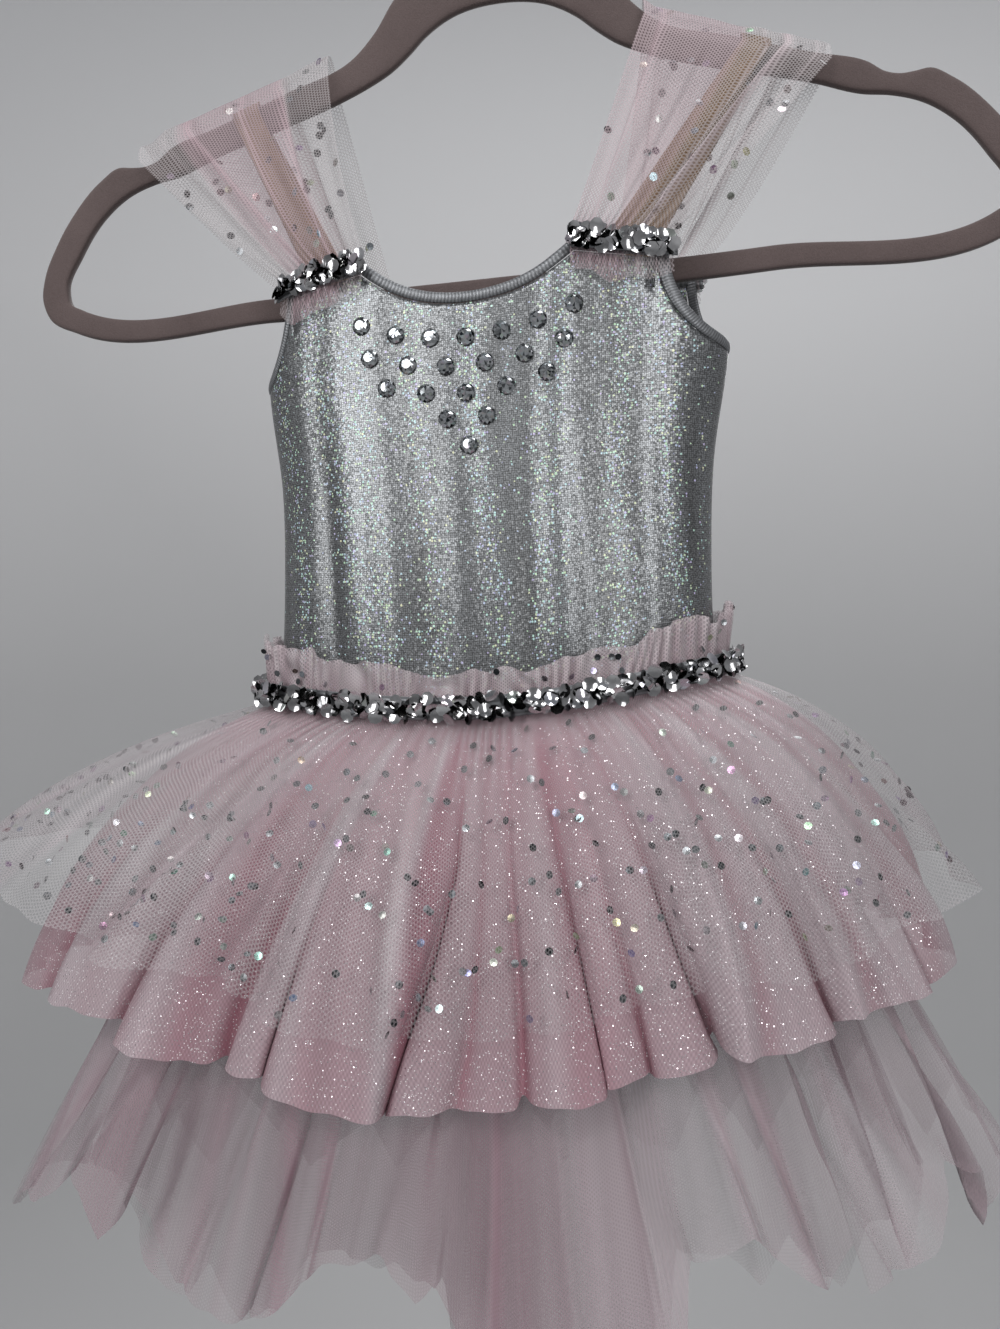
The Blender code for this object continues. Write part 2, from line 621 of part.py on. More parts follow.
def build_stones(material, collection):
    number = 0
    for count, drop, pitch, rise in STONE_ROWS:
        for place in range(count):
            number += 1
            off_middle = place - (count - 1) / 2
            share = 2 * off_middle / max(count - 1, 1)
            across = STONES_MIDDLE + off_middle * pitch
            height = NECK_HEIGHT_FRONT - drop + rise * share**2
            seat = bodice_point(across, height, STONE_OUT)
            further = bodice_point(across, height, STONE_OUT + STONE_HEIGHT)
            above = bodice_point(across, height + 0.002, STONE_OUT)
            normal = (further - seat) / np.linalg.norm(further - seat)
            upward = above - seat
            upward -= normal * np.dot(upward, normal)
            upward /= np.linalg.norm(upward)
            sideways = np.cross(upward, normal)
            bm = bmesh.new()
            bmesh.ops.create_cone(
                bm, cap_ends=True, segments=STONE_SIDES, radius1=STONE_RADIUS,
                radius2=STONE_TABLE_RADIUS, depth=STONE_HEIGHT,
            )
            for vertex in bm.verts:
                across_part, up_part, out_part = vertex.co
                place_now = seat + sideways * across_part + upward * up_part
                vertex.co = place_now + normal * (out_part + STONE_HEIGHT / 2)
            name = f"rhinestone_{number:02d}"
            mesh = bpy.data.meshes.new(name)
            bm.to_mesh(mesh)
            bm.free()
            mesh.materials.append(material)
            collection.objects.link(bpy.data.objects.new(name, mesh))


def mesh_from_curve(curve, name, material, collection):
    # Curve caps are loose, so the mesh is welded before it is kept.
    source = bpy.data.objects.new(name + "_curve", curve)
    collection.objects.link(source)
    bpy.context.view_layer.update()
    evaluated = source.evaluated_get(bpy.context.evaluated_depsgraph_get())
    mesh = bpy.data.meshes.new_from_object(evaluated)
    made = bpy.data.objects.new(name, mesh)
    made.matrix_world = source.matrix_world
    bpy.data.objects.remove(source, do_unlink=True)
    bm = bmesh.new()
    bm.from_mesh(mesh)
    bmesh.ops.remove_doubles(bm, verts=bm.verts, dist=1e-6)
    bmesh.ops.recalc_face_normals(bm, faces=bm.faces)
    bm.to_mesh(mesh)
    bm.free()
    mesh.materials.clear()
    mesh.materials.append(material)
    collection.objects.link(made)
    return made


def build_hanger_frame(material, collection):
    curve = bpy.data.curves.new("hanger_outline", "CURVE")
    curve.dimensions = "2D"
    curve.fill_mode = "BOTH"
    curve.resolution_u = 1
    curve.extrude = HANGER_THICKNESS / 2 - HANGER_ROUNDING
    curve.bevel_depth = HANGER_ROUNDING
    curve.bevel_resolution = 0
    curve.offset = -HANGER_ROUNDING
    for half in (HANGER_OUTER, HANGER_INNER):
        loop = [(across, -down) for across, down in half]
        loop += [(-across, -down) for across, down in half[-2:0:-1]]
        spline = curve.splines.new("BEZIER")
        spline.bezier_points.add(len(loop) - 1)
        for point, (across, up) in zip(spline.bezier_points, loop):
            point.co = (across, up, 0)
            point.handle_left_type = "AUTO"
            point.handle_right_type = "AUTO"
        spline.use_cyclic_u = True
    frame = mesh_from_curve(curve, "hanger_frame", material, collection)
    frame.rotation_euler = (math.radians(90), -HANGER_TILT, 0)


def build_hanger_hook(material, collection):
    centre_up = HOOK_WIRE_RADIUS - HOOK_BEND_RADIUS
    arc = []
    for degrees in range(-48, 187, 13):
        angle = math.radians(degrees)
        arc.append((HOOK_BEND_RADIUS * math.cos(angle), centre_up + HOOK_BEND_RADIUS * math.sin(angle)))
    stem_foot = -HOOK_SEAT_TO_HUB + 2 * GAP
    stem = [(0, stem_foot), (0, -0.064), (0.0004, -0.057), (0.0022, -0.051), (0.0062, -0.0455)]
    curve = bpy.data.curves.new("hook_wire", "CURVE")
    curve.dimensions = "3D"
    curve.bevel_depth = HOOK_WIRE_RADIUS
    curve.bevel_resolution = 2
    curve.use_fill_caps = True
    route = stem + arc
    spline = curve.splines.new("POLY")
    spline.points.add(len(route) - 1)
    for point, (across, up) in zip(spline.points, route):
        x, y, z = hanger_to_world((across, 0, up))
        point.co = (x, y, z, 1)
    mesh_from_curve(curve, "hanger_hook", material, collection)


def main():
    clear_scene()
    collection = bpy.data.collections.new("princess_dress")
    bpy.context.scene.collection.children.link(collection)
    materials = {
        "flock": make_material("flocked hanger", (0.17, 0.125, 0.12), 0.95, 0.0),
        "steel": make_material("steel hook", (0.55, 0.55, 0.56), 0.25, 1.0),
        "foil_jersey": make_material("foil jersey", (0.55, 0.57, 0.58), 0.3, 0.7),
        "binding": make_material("binding", (0.48, 0.50, 0.51), 0.35, 0.6),
        "elastic": make_material("tan elastic", (0.42, 0.29, 0.20), 0.8, 0.0),
        "strap_net": make_material("strap net", (0.75, 0.64, 0.68), 0.7, 0.0),
        "sequins": make_material("sequins", (0.62, 0.62, 0.63), 0.15, 1.0),
        "overlay": make_material("overskirt net", (0.72, 0.62, 0.66), 0.7, 0.0),
        "glitter": make_material("glitter net", (0.68, 0.42, 0.50), 0.55, 0.1),
        "under": make_material("underskirt net", (0.60, 0.38, 0.44), 0.8, 0.0),
        "stone": make_material("clear stone", (0.85, 0.87, 0.87), 0.05, 0.2),
    }
    build_hanger_frame(materials["flock"], collection)
    build_hanger_hook(materials["steel"], collection)
    build_bodice(materials, collection)
    build_bindings(materials, collection)
    for side_name, net_middle, elastic_middle, half_top, outer_lift, inner_lift in STRAPS:
        side = -1 if side_name == "left" else 1
        build_elastic(side_name, side, elastic_middle, materials, collection)
        lifts = (inner_lift, outer_lift)
        build_strap_net(side_name, side, net_middle, half_top, lifts, materials, collection)
        build_strap_trims(side_name, side, materials, collection)
    build_header(materials["overlay"], collection)
    build_waist_trim(materials["sequins"], collection)
    for name, columns, levels, material in SKIRT_BUILDS:
        build_skirt(name, columns, levels, materials[material], collection)
    build_stones(materials["stone"], collection)


main()
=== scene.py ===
import bmesh
import bpy
import numpy as np
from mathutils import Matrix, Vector
from numpy import arange, array, clip, concatenate, cos, linspace, pi, radians, sin, stack


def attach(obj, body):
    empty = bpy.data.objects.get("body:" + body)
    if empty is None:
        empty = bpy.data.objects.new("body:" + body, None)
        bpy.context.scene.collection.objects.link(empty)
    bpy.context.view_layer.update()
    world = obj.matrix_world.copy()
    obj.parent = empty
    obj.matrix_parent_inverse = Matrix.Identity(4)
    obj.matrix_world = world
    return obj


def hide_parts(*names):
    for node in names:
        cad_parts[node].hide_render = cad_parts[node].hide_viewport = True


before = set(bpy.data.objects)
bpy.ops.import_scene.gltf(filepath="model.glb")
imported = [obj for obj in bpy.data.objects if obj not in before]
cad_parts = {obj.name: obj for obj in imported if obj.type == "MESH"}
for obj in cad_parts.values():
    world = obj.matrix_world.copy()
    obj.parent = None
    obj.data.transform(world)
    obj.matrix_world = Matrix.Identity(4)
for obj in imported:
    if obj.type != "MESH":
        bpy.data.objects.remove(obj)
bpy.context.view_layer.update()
chance = np.random.default_rng(41)
fullTurn = 2 * pi

# The dress hangs about an upright line, and its cross lines lean with the hanger.
dress = {
    "centreX": 0.005, "waistZ": -0.3994, "sagFront": 0.011, "sagBack": 0.006,
    "lean": np.tan(radians(4)), "squareness": 2.4, "hemSquareness": 2.15,
}


def smoothStep(value):
    # Three t squared less two t cubed, held between 0 and 1.
    t = clip(value, 0, 1)
    return t * t * (3 - 2 * t)


def bump(value, middle, spread):
    # A bell: e to the minus of the squared distance from its middle, in spreads.
    return np.exp(-(((value - middle) / spread) ** 2))


def curveThrough(levels, values, at):
    # Cubic pieces through the given points, each slope the mean of its neighbours'.
    levels, values = np.asarray(levels, float), np.asarray(values, float)
    slopes = np.gradient(values, levels)
    piece = clip(np.searchsorted(levels, at) - 1, 0, len(levels) - 2)
    span = levels[piece + 1] - levels[piece]
    t = clip((at - levels[piece]) / span, 0, 1)
    ends = (2 * t**3 - 3 * t**2 + 1) * values[piece] + (3 * t**2 - 2 * t**3) * values[piece + 1]
    return ends + span * ((t**3 - 2 * t**2 + t) * slopes[piece] + (t**3 - t**2) * slopes[piece + 1])


def unevenness(first, second, seed):
    # A mean of six sines of both parameters, each with its own turn and pace, about -1 to 1.
    draw = np.random.default_rng(seed)
    total = 0
    for _ in range(6):
        pace = draw.uniform(0.6, 2.2, 2) * draw.choice([-1, 1], 2)
        total = total + sin(pace[0] * first + pace[1] * second + draw.uniform(0, fullTurn))
    return total / 6 * 1.6


def unit(vectors):
    # Each vector over its own length.
    return vectors / np.linalg.norm(vectors, axis=-1, keepdims=True)


ringDepths = linspace(0.2, 0.6, 41)
ringPlaces = 720


def makeRingTable(squareness):
    # Superellipses one unit wide and of many depths, each walked by its own length.
    turn = linspace(-pi, pi, 2 * ringPlaces + 1)
    x = np.sign(sin(turn)) * np.abs(sin(turn)) ** (2 / squareness)
    y = -np.sign(cos(turn)) * np.abs(cos(turn)) ** (2 / squareness)
    places = linspace(-0.5, 0.5, ringPlaces + 1)
    rows = []
    for depth in ringDepths:
        length = concatenate([[0], np.cumsum(np.hypot(np.diff(x), np.diff(y) * depth))])
        along = length / length[-1] - 0.5
        rows.append((np.interp(places, along, x), np.interp(places, along, y)))
    return array(rows)


ringTables = {dress[name]: makeRingTable(dress[name]) for name in ("squareness", "hemSquareness")}


def ring(halfWidth, halfDepth, shares, squareness=dress["squareness"]):
    # A superellipse by its length: share 0 is the front's middle, 0.25 the viewer's right.
    table = ringTables[squareness]
    halfWidth, halfDepth, shares = np.broadcast_arrays(halfWidth, halfDepth, shares)
    last = len(ringDepths) - 1.001
    level = clip((halfDepth / halfWidth - ringDepths[0]) / (ringDepths[1] - ringDepths[0]), 0, last)
    place = (shares + 0.5) % 1 * ringPlaces
    row = level.astype(int)
    column = np.minimum(place.astype(int), ringPlaces - 1)
    up, over = level - row, place - column
    found = []
    for axis in (0, 1):
        low, high = (
            table[at, axis, column] * (1 - over) + table[at, axis, column + 1] * over
            for at in (row, row + 1)
        )
        found.append(low * (1 - up) + high * up)
    return halfWidth * found[0], halfDepth * found[1]


def ringAlong(halfWidth, halfDepth, shares, squareness=dress["squareness"]):
    # The unit direction round the ring, from the points a little before and after.
    before, after = (
        ring(halfWidth, halfDepth, shares + step, squareness) for step in (-0.002, 0.002))
    x, y = after[0] - before[0], after[1] - before[1]
    length = np.hypot(x, y)
    return x / length, y / length


def bySide(shares, left, right, front, back):
    # Left and right count by the sine squared of the turn, front and back by the cosine squared.
    across, ahead = sin(fullTurn * shares), cos(fullTurn * shares)
    sideways = np.where(across > 0, right, left) * across**2
    return sideways + np.where(ahead > 0, front, back) * ahead**2


def leaned(x, y, z):
    # Each height rises to the viewer's right by the hanger's slope.
    return stack(np.broadcast_arrays(dress["centreX"] + x, y, z + dress["lean"] * x), axis=-1)


def waistLevel(shares):
    # The waist line's height less its sag, which is more in front than behind.
    return dress["waistZ"] - bySide(shares, 0, 0, dress["sagFront"], dress["sagBack"])


def meshPiece(name, points, faces, uv=None, facts=None, smooth=True):
    # Points and faces as arrays. Uv is a pair for each face corner, facts one number a point.
    mesh = bpy.data.meshes.new(name)
    mesh.from_pydata(points.reshape(-1, 3).tolist(), [], faces.tolist())
    mesh.polygons.foreach_set("use_smooth", np.full(len(mesh.polygons), smooth))
    if uv is not None:
        mesh.uv_layers.new(name="cloth").data.foreach_set("uv", uv.astype(np.float32).ravel())
    for label, values in (facts or {}).items():
        fact = mesh.attributes.new(label, "FLOAT", "POINT")
        fact.data.foreach_set("value", values.astype(np.float32).ravel())
    mesh.update()
    piece = bpy.data.objects.new(name, mesh)
    bpy.context.scene.collection.objects.link(piece)
    return piece


def gridPiece(name, points, size, facts=None, closed=True, joined=False, turned=False):
    # A grid of points, rows by columns. Closed grids meet across, joined ones also along. Size is
    # the cloth's width and length in metres for its uv, or each point's own place on the cloth.
    rows, columns = points.shape[:2]
    down, over = arange(rows + joined), arange(columns + closed)
    index = (down % rows)[:, None] * columns + over % columns
    flat = down[:, None] * len(over) + over
    way = 1 - 2 * turned
    faces, flat = (
        stack([n[:-1, :-1], n[:-1, 1:], n[1:, 1:], n[1:, :-1]], axis=-1)[..., ::way].reshape(-1, 4)
        for n in (index, flat)
    )
    if len(size) == 2:
        across, along = linspace(0, size[0], len(over)), linspace(0, size[1], len(down))[:, None]
        size = stack(np.broadcast_arrays(across, along), axis=-1)
    return meshPiece(name, points, faces, size.reshape(-1, 2)[flat], facts)


def thicken(piece, wall):
    # Half the wall goes to each side of the shell.
    solid = piece.modifiers.new("wall", "SOLIDIFY")
    solid.thickness = wall
    solid.offset = 0
    return piece


def closePoles(piece):
    # Points that stand at one place become one.
    shape = bmesh.new()
    shape.from_mesh(piece.data)
    bmesh.ops.remove_doubles(shape, verts=shape.verts, dist=1e-7)
    shape.to_mesh(piece.data)
    shape.free()


# The finish that is being made. The functions below add their nodes to it.
making = {}


def startFinish(name, roughness, metallic=0.0, sheen=0.0, sheenRoughness=0.5):
    # A new material with the shader's fixed values.
    material = bpy.data.materials.new(name)
    material.use_nodes = True
    making["tree"] = material.node_tree
    making["shader"] = material.node_tree.nodes["Principled BSDF"].inputs
    labels = ("Roughness", "Metallic", "Sheen Weight", "Sheen Roughness")
    for label, value in zip(labels, (roughness, metallic, sheen, sheenRoughness)):
        making["shader"][label].default_value = value
    return material


def wire(kind, inputs=None, **settings):
    # Adds a node. Each input is a value, or a socket to link from.
    node = making["tree"].nodes.new("ShaderNode" + kind)
    for key, value in settings.items():
        setattr(node, key, value)
    for key, value in (inputs or {}).items():
        if isinstance(value, bpy.types.NodeSocket):
            making["tree"].links.new(value, node.inputs[key])
        else:
            node.inputs[key].default_value = value
    return node


def give(label, socket):
    # Links a socket to the shader.
    making["tree"].links.new(socket, making["shader"][label])


def maths(operation, first, second=0.0, third=0.0):
    # One sum of up to three numbers or sockets.
    return wire("Math", {0: first, 1: second, 2: third}, operation=operation).outputs[0]


def vectors(operation, first, second=(0, 0, 0)):
    # One sum of two vectors, or of a vector and a number to scale it by.
    inputs = {0: first, "Scale" if operation == "SCALE" else 1: second}
    kind = "Value" if operation == "DOT_PRODUCT" else "Vector"
    return wire("VectorMath", inputs, operation=operation).outputs[kind]


def mapped(value, low, high, toLow=0.0, toHigh=1.0):
    # A straight line from low and high to two other values, held between them.
    return wire("MapRange", {"Value": value, 1: low, 2: high, 3: toLow, 4: toHigh}).outputs[0]


def mixed(share, first, second):
    # A colour between two, each a socket or three numbers.
    ends = {6: first, 7: second}
    inputs = {key: value if hasattr(value, "links") else (*value, 1) for key, value in ends.items()}
    return wire("Mix", {0: share, **inputs}, data_type="RGBA").outputs[2]


def noise(place, scale, detail=2.0):
    # Soft clouds, so many to the metre.
    return wire("TexNoise", {"Vector": place, "Scale": scale, "Detail": detail}).outputs[0]


def cells(place, pitch, **more):
    # Scattered cells of one pitch, each with the distance to its middle and a random colour.
    return wire("TexVoronoi", {"Vector": place, "Scale": 1 / pitch, **more}).outputs


def fact(label):
    # A number stored on the points.
    return wire("Attribute", attribute_name=label).outputs["Fac"]


def clothPlace():
    # The place on the flat cloth, in metres.
    return wire("UVMap", uv_map="cloth").outputs[0]


def objectPlace():
    # The place in the object's own frame, in metres.
    return wire("TexCoord").outputs["Object"]


def relief(strength, distance, height):
    # A shade read as a height tips the cloth's normal.
    inputs = {"Strength": strength, "Distance": distance, "Height": height}
    give("Normal", wire("Bump", inputs).outputs[0])


def tipNormal(colour, amount):
    # Each cell's random colour less a half, times an amount, tips the cloth's normal.
    tilt = vectors("SCALE", vectors("SUBTRACT", colour, (0.5, 0.5, 0.5)), amount)
    tipped = vectors("ADD", wire("NewGeometry").outputs["Normal"], tilt)
    give("Normal", vectors("NORMALIZE", tipped))


# Rows of a net's holes lie this share of its pitch apart.
holeRows = 0.866


def makeNet(name, roughness, pitch, light, deep, threads):
    # Three cosine waves a third of a turn apart peak in the net's holes and cancel at its threads.
    # They and a stored number give its cover, and another its colour, which holds painted light and
    # shade of its folds.
    material = startFinish(name, roughness)
    place = clothPlace()
    waves = []
    step = fullTurn / (pitch * holeRows)
    for turn in radians([0, 60, 120]):
        phase = vectors("DOT_PRODUCT", place, (cos(turn) * step, sin(turn) * step, 0))
        waves.append(maths("COSINE", phase))
    total = maths("ADD", maths("ADD", waves[0], waves[1]), waves[2])
    threaded = mapped(total, 1.6, -0.8, -0.5, 0.5)
    give("Base Color", mixed(fact("depth"), light, deep))
    give("Alpha", maths("MULTIPLY_ADD", threaded, threads, fact("cover")))
    return material


def makeGlitterNet(name, look):
    # Fine loops in rows. A share of the specks are pale, painted glints, and some of those are
    # metal and tipped.
    material = startFinish(name, look["roughness"])
    place = clothPlace()
    rows = vectors("DOT_PRODUCT", place, (0, fullTurn / look["rowPitch"], 0))
    loops = vectors("DOT_PRODUCT", place, (fullTurn / look["loopPitch"], 0, 0))
    knit = maths("MULTIPLY", maths("SINE", loops), maths("SINE", rows))
    # The stored depth holds painted shade in creases and gathers and painted highlights on ridges.
    colour = mixed(fact("depth"), look["light"], look["deep"])
    colour = mixed(mapped(knit, -0.8, 0.8, look["shadeShare"], 0.0), colour, look["shade"])
    specks = cells(objectPlace(), look["speckPitch"])
    near = maths("LESS_THAN", specks["Distance"], look["speckSize"])
    kinds = wire("SeparateColor", {0: specks["Color"]}).outputs
    pale = maths("MULTIPLY", near, maths("LESS_THAN", kinds[0], fact("glint")))
    metal = maths("MULTIPLY", pale, maths("LESS_THAN", kinds[1], look["metalShare"]))
    give("Base Color", mixed(pale, colour, look["metal"]))
    give("Metallic", metal)
    give("Roughness", mapped(metal, 0, 1, look["roughness"], look["metalRoughness"]))
    tipNormal(specks["Color"], maths("MULTIPLY", metal, look["speckTilt"]))
    cover = maths("MULTIPLY_ADD", knit, look["threads"], fact("cover"))
    give("Alpha", maths("MAXIMUM", cover, pale))
    return material


def makeFoil(name, look):
    # Small foil dots on jersey. In the painted glint bands a share of flecks get a bright rainbow
    # tint and little metal, painted sparkle.
    material = startFinish(name, look["roughness"], look["metallic"])
    place = clothPlace()
    dots = cells(place, look["dotPitch"], Randomness=0.45)
    gap = mapped(dots["Distance"], 0.30, 0.60)
    flecks = cells(place, look["fleckPitch"])
    kinds = wire("SeparateColor", {0: flecks["Color"]}).outputs
    share = maths("LESS_THAN", kinds[1], maths("MULTIPLY", fact("band"), look["fleckShare"]))
    picked = maths("MULTIPLY", share, maths("LESS_THAN", flecks["Distance"], look["fleckSize"]))
    hue = mapped(kinds[0], 0, 1, *look["hues"])
    tint = wire("HueSaturation", {"Hue": hue, "Color": (*look["rainbow"], 1)}).outputs[0]
    # Painted sheen: the base colour is lighter on raised folds, with random patchiness.
    foldSheen = maths("SUBTRACT", fact("foldSheen"), look["foldSheenDrop"])
    base = maths("MULTIPLY_ADD", noise(place, look["cloud"]), 0.5, foldSheen)
    base = mixed(base, look["dark"], look["light"])
    colour = mixed(maths("MULTIPLY", gap, look["gapShare"]), base, look["cloth"])
    colour = mixed(maths("MULTIPLY", picked, look["rainbowShare"]), colour, tint)
    give("Metallic", mapped(picked, 0, 1, look["metallic"], look["fleckMetallic"]))
    give("Base Color", colour)
    tipNormal(dots["Color"], look["tilt"])
    return material


def makeCloth(name, roughness, metallic, sheen, ribs, light, deep):
    # A matt ribbed or stitched cloth: a sine of its place for the ribs, and a little mottling.
    material = startFinish(name, roughness, metallic, sheen)
    place = clothPlace()
    phase = vectors("DOT_PRODUCT", place, tuple(fullTurn / pitch if pitch else 0 for pitch in ribs))
    raised = mapped(maths("SINE", phase), -1, 1)
    shade = maths("MULTIPLY_ADD", noise(place, 300, 4), 0.7, maths("MULTIPLY", raised, 0.5))
    give("Base Color", mixed(shade, deep, light))
    relief(0.5, 0.0003, shade)
    return material


def makeFlock(name, light, deep):
    # Short velvet fibres: a fine speckle, soft cloudy wear and a strong sheen at grazing light.
    material = startFinish(name, 0.95, 0.0, 0.55, 0.35)
    place = objectPlace()
    speckle = noise(place, 2200)
    cloud = maths("MULTIPLY_ADD", noise(place, 28, 5), 0.7, -0.35)
    give("Base Color", mixed(maths("MULTIPLY_ADD", speckle, 0.8, cloud), deep, light))
    relief(0.6, 0.0004, speckle)
    return material


def makeMirror(name, roughness, metallic, light, deep, rainbow, rainbowFrom, rainbowShare, paintedDarkShare):
    # Bright metal. One number stored on each disc or facet gives its hue, and one its painted
    # brightness:
    # the lowest are painted dark, painted shade for dark reflections, and the highest take a
    # rainbow tint.
    material = startFinish(name, roughness, metallic)
    hue = wire("HueSaturation", {"Hue": fact("tint"), "Color": (*rainbow, 1)}).outputs[0]
    paintedShadeAndTint = fact("paintedShadeAndTint")
    paintedDark = mapped(paintedShadeAndTint, 0.0, 0.5, paintedDarkShare, 0.0)
    cloud = noise(objectPlace(), 900)
    colour = mixed(mapped(paintedShadeAndTint, rainbowFrom, 1.0, 0.0, rainbowShare), light, hue)
    give("Base Color", mixed(maths("MULTIPLY_ADD", cloud, 0.25, paintedDark), colour, deep))
    give("Roughness", mapped(cloud, 0.3, 0.7, roughness, roughness + 0.10))
    return material


# Light and deep are a finish's two colours, and a pitch is the size of its thread, dot or speck.
glitterLook = {
    "roughness": 0.5, "rowPitch": 0.0020, "loopPitch": 0.0017, "shadeShare": 0.22,
    "light": (0.62, 0.50, 0.54), "deep": (0.40, 0.17, 0.215), "shade": (0.25, 0.12, 0.15),
    "metal": (0.90, 0.86, 0.88), "metalRoughness": 0.2, "metalShare": 0.5,
    "speckPitch": 0.00090, "speckSize": 0.27, "speckTilt": 1.0, "threads": 0.10,
}
foilLook = {
    "roughness": 0.37, "metallic": 0.85, "dotPitch": 0.00085, "tilt": 0.22, "cloud": 30,
    "light": (0.47, 0.49, 0.51), "dark": (0.235, 0.24, 0.245), "foldSheenDrop": 0.25,
    "cloth": (0.07, 0.07, 0.07), "gapShare": 0.8, "rainbow": (0.66, 0.93, 0.98),
    "rainbowShare": 0.9, "hues": (0.14, 0.70), "fleckPitch": 0.00110, "fleckSize": 0.42,
    "fleckShare": 0.62, "fleckMetallic": 0.15,
}
netLooks = {
    # Roughness, pitch, light, deep, and how much the threads add to the cover.
    "strapNet": (0.55, 0.0015, (0.67, 0.635, 0.64), (0.58, 0.42, 0.46), 0.46),
    "headerNet": (0.6, 0.0014, (0.84, 0.74, 0.77), (0.50, 0.33, 0.38), 0.40),
    "overskirtNet": (0.5, 0.0017, (0.64, 0.615, 0.625), (0.60, 0.50, 0.54), 0.34),
    "underskirtNet": (0.7, 0.0014, (0.69, 0.595, 0.635), (0.37, 0.22, 0.265), 0.16),
}
clothLooks = {
    # Roughness, metallic, sheen, pitch of the ribs each way, light and deep.
    "stitchedBinding": (0.42, 0.55, 0.0, (0, 0.0019, 0), (0.31, 0.32, 0.335), (0.06, 0.06, 0.065)),
    "tanElastic": (0.85, 0.0, 0.1, (0.0011, 0, 0), (0.36, 0.225, 0.13), (0.13, 0.075, 0.04)),
}
mirrorLooks = {
    # Roughness, metallic, light, deep (the painted dark colour), rainbow, where it starts, its
    # share, and the share painted dark as painted shade.
    "cupSequins": (0.09, 1.0, (0.80, 0.80, 0.81), (0.03, 0.03, 0.035), (0.8, 0.5, 0.5),
                   0.7, 0.25, 0.4),
    "flatSpangles": (0.2, 1.0, (0.56, 0.58, 0.60), (0.035, 0.04, 0.045), (0.35, 0.55, 0.75),
                     0.35, 0.85, 0.9),
    "hookSteel": (0.18, 1.0, (0.66, 0.66, 0.68), (0.45, 0.45, 0.46), (0.5, 0.5, 0.5),
                  0.9, 0.0, 0.0),
    "cutStones": (0.04, 0.95, (0.62, 0.65, 0.67), (0.02, 0.025, 0.03), (0.75, 0.5, 0.5),
                  0.75, 0.4, 0.9),
}
materials = {
    "flockedHanger": makeFlock("flockedHanger", (0.185, 0.140, 0.135), (0.085, 0.062, 0.060)),
    "foilJersey": makeFoil("foilJersey", foilLook),
    "glitterNet": makeGlitterNet("glitterNet", glitterLook),
}
for make, looks in ((makeNet, netLooks), (makeCloth, clothLooks), (makeMirror, mirrorLooks)):
    for name, look in looks.items():
        materials[name] = make(name, *look)
# The close nets shade what lies behind them as plain cloth does.
for name in ("glitterNet", "underskirtNet"):
    materials[name].use_transparent_shadow = False
print("materials made")


leastCosine, mostCover = 0.42, 0.97


def slantedCover(points, cover, reach=9):
    # A net seen aslant covers more: its clear share is raised to one over the cosine between the
    # cloth's own normal and that of the same cloth smoothed along its rows.
    sums = np.cumsum(np.pad(points, ((0, 0), (reach + 1, reach), (0, 0)), mode="edge"), axis=1)
    smooth = (sums[:, 2 * reach + 1:] - sums[:, :-2 * reach - 1]) / (2 * reach + 1)
    own, broad = (
        unit(np.cross(np.gradient(form, axis=0), np.gradient(form, axis=1)) + 1e-12)
        for form in (points, smooth)
    )
    cosine = clip(np.abs((own * broad).sum(axis=-1)), leastCosine, 1)
    return 1 - (1 - clip(cover, 0, mostCover)) ** (1 / cosine)


def finishPiece(piece, look, slot, replaced=(), **sheet):
    # Its finish and body, and the solids it stands for, which are hidden. Its slot and the cloth
    # that it is cut from are not used.
    piece.data.materials.append(materials[look])
    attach(piece, "root")
    if replaced:
        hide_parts(*replaced)
    return piece


def clothArea(piece):
    # The sum of its faces.
    return sum(face.area for face in piece.data.polygons)


bodice = {
    "levels": (-0.012, 0.0, 0.045, 0.090, 0.1406, 0.190),
    "halfWidths": (0.0985, 0.0980, 0.0962, 0.0968, 0.1030, 0.1020),
    "halfDepths": (0.0410, 0.0400, 0.0385, 0.0350, 0.0310, 0.0285),
    "pull": -0.0095, "pullDone": 0.14, "pullFade": 0.09,
    "foldShare": 0.75, "foldsStart": 0.030, "foldsTop": 0.17, "foldsTopShare": 0.4,
    "sagDone": 0.12, "wall": 0.0010, "cutArea": 0.165, "cutLength": 0.189,
    # In thousandths, painted glint bands: across at the chest and at the waist, spread, and how
    # much the foil is painted to flash.
    "shimmer": (
        (-91, -77, 5.5, 750), (-68, -47, 6, 850), (-50, -37, 5, 700), (-24, -18, 5.5, 800),
        (2, 9, 5.5, 700), (39, 24, 6.5, 750), (66, 57, 6, 700), (84, 87, 5.5, 750),
    ),
    # In mm: distance from the middle at the waist, drift of it on the way up, spread, rise.
    "frontFolds": (
        (-88, 6, 4.5, 1.2), (-78, 4, 6, 1.5), (-66, 0, 4, -1.2), (-50, -6, 8.5, 2.4),
        (-36, -4, 4, 1), (-22, -6, 8, -1.5), (-8, 0, 4.5, 0.8), (6, 4, 8, 1.2), (20, 10, 5, -1),
        (34, 4, 8, 2.6), (47, 0, 4.5, -0.9), (62, -4, 9, -1.4), (73, 4, 5, 1.1), (84, 4, 7, 1.6),
    ),
    "backFolds": (
        (-84, 4, 5, 1), (-70, 2, 9, 1.8), (-50, 6, 6, -1), (-28, -4, 10, -1.4),
        (-10, 3, 5.5, 0.9), (12, 4, 9.5, 2), (34, -5, 6, -0.9), (55, 2, 10, 1.5), (78, 4, 6, 1),
    ),
}
for name in ("shimmer", "frontFolds", "backFolds"):
    bodice[name] = array(bodice[name]) / 1000
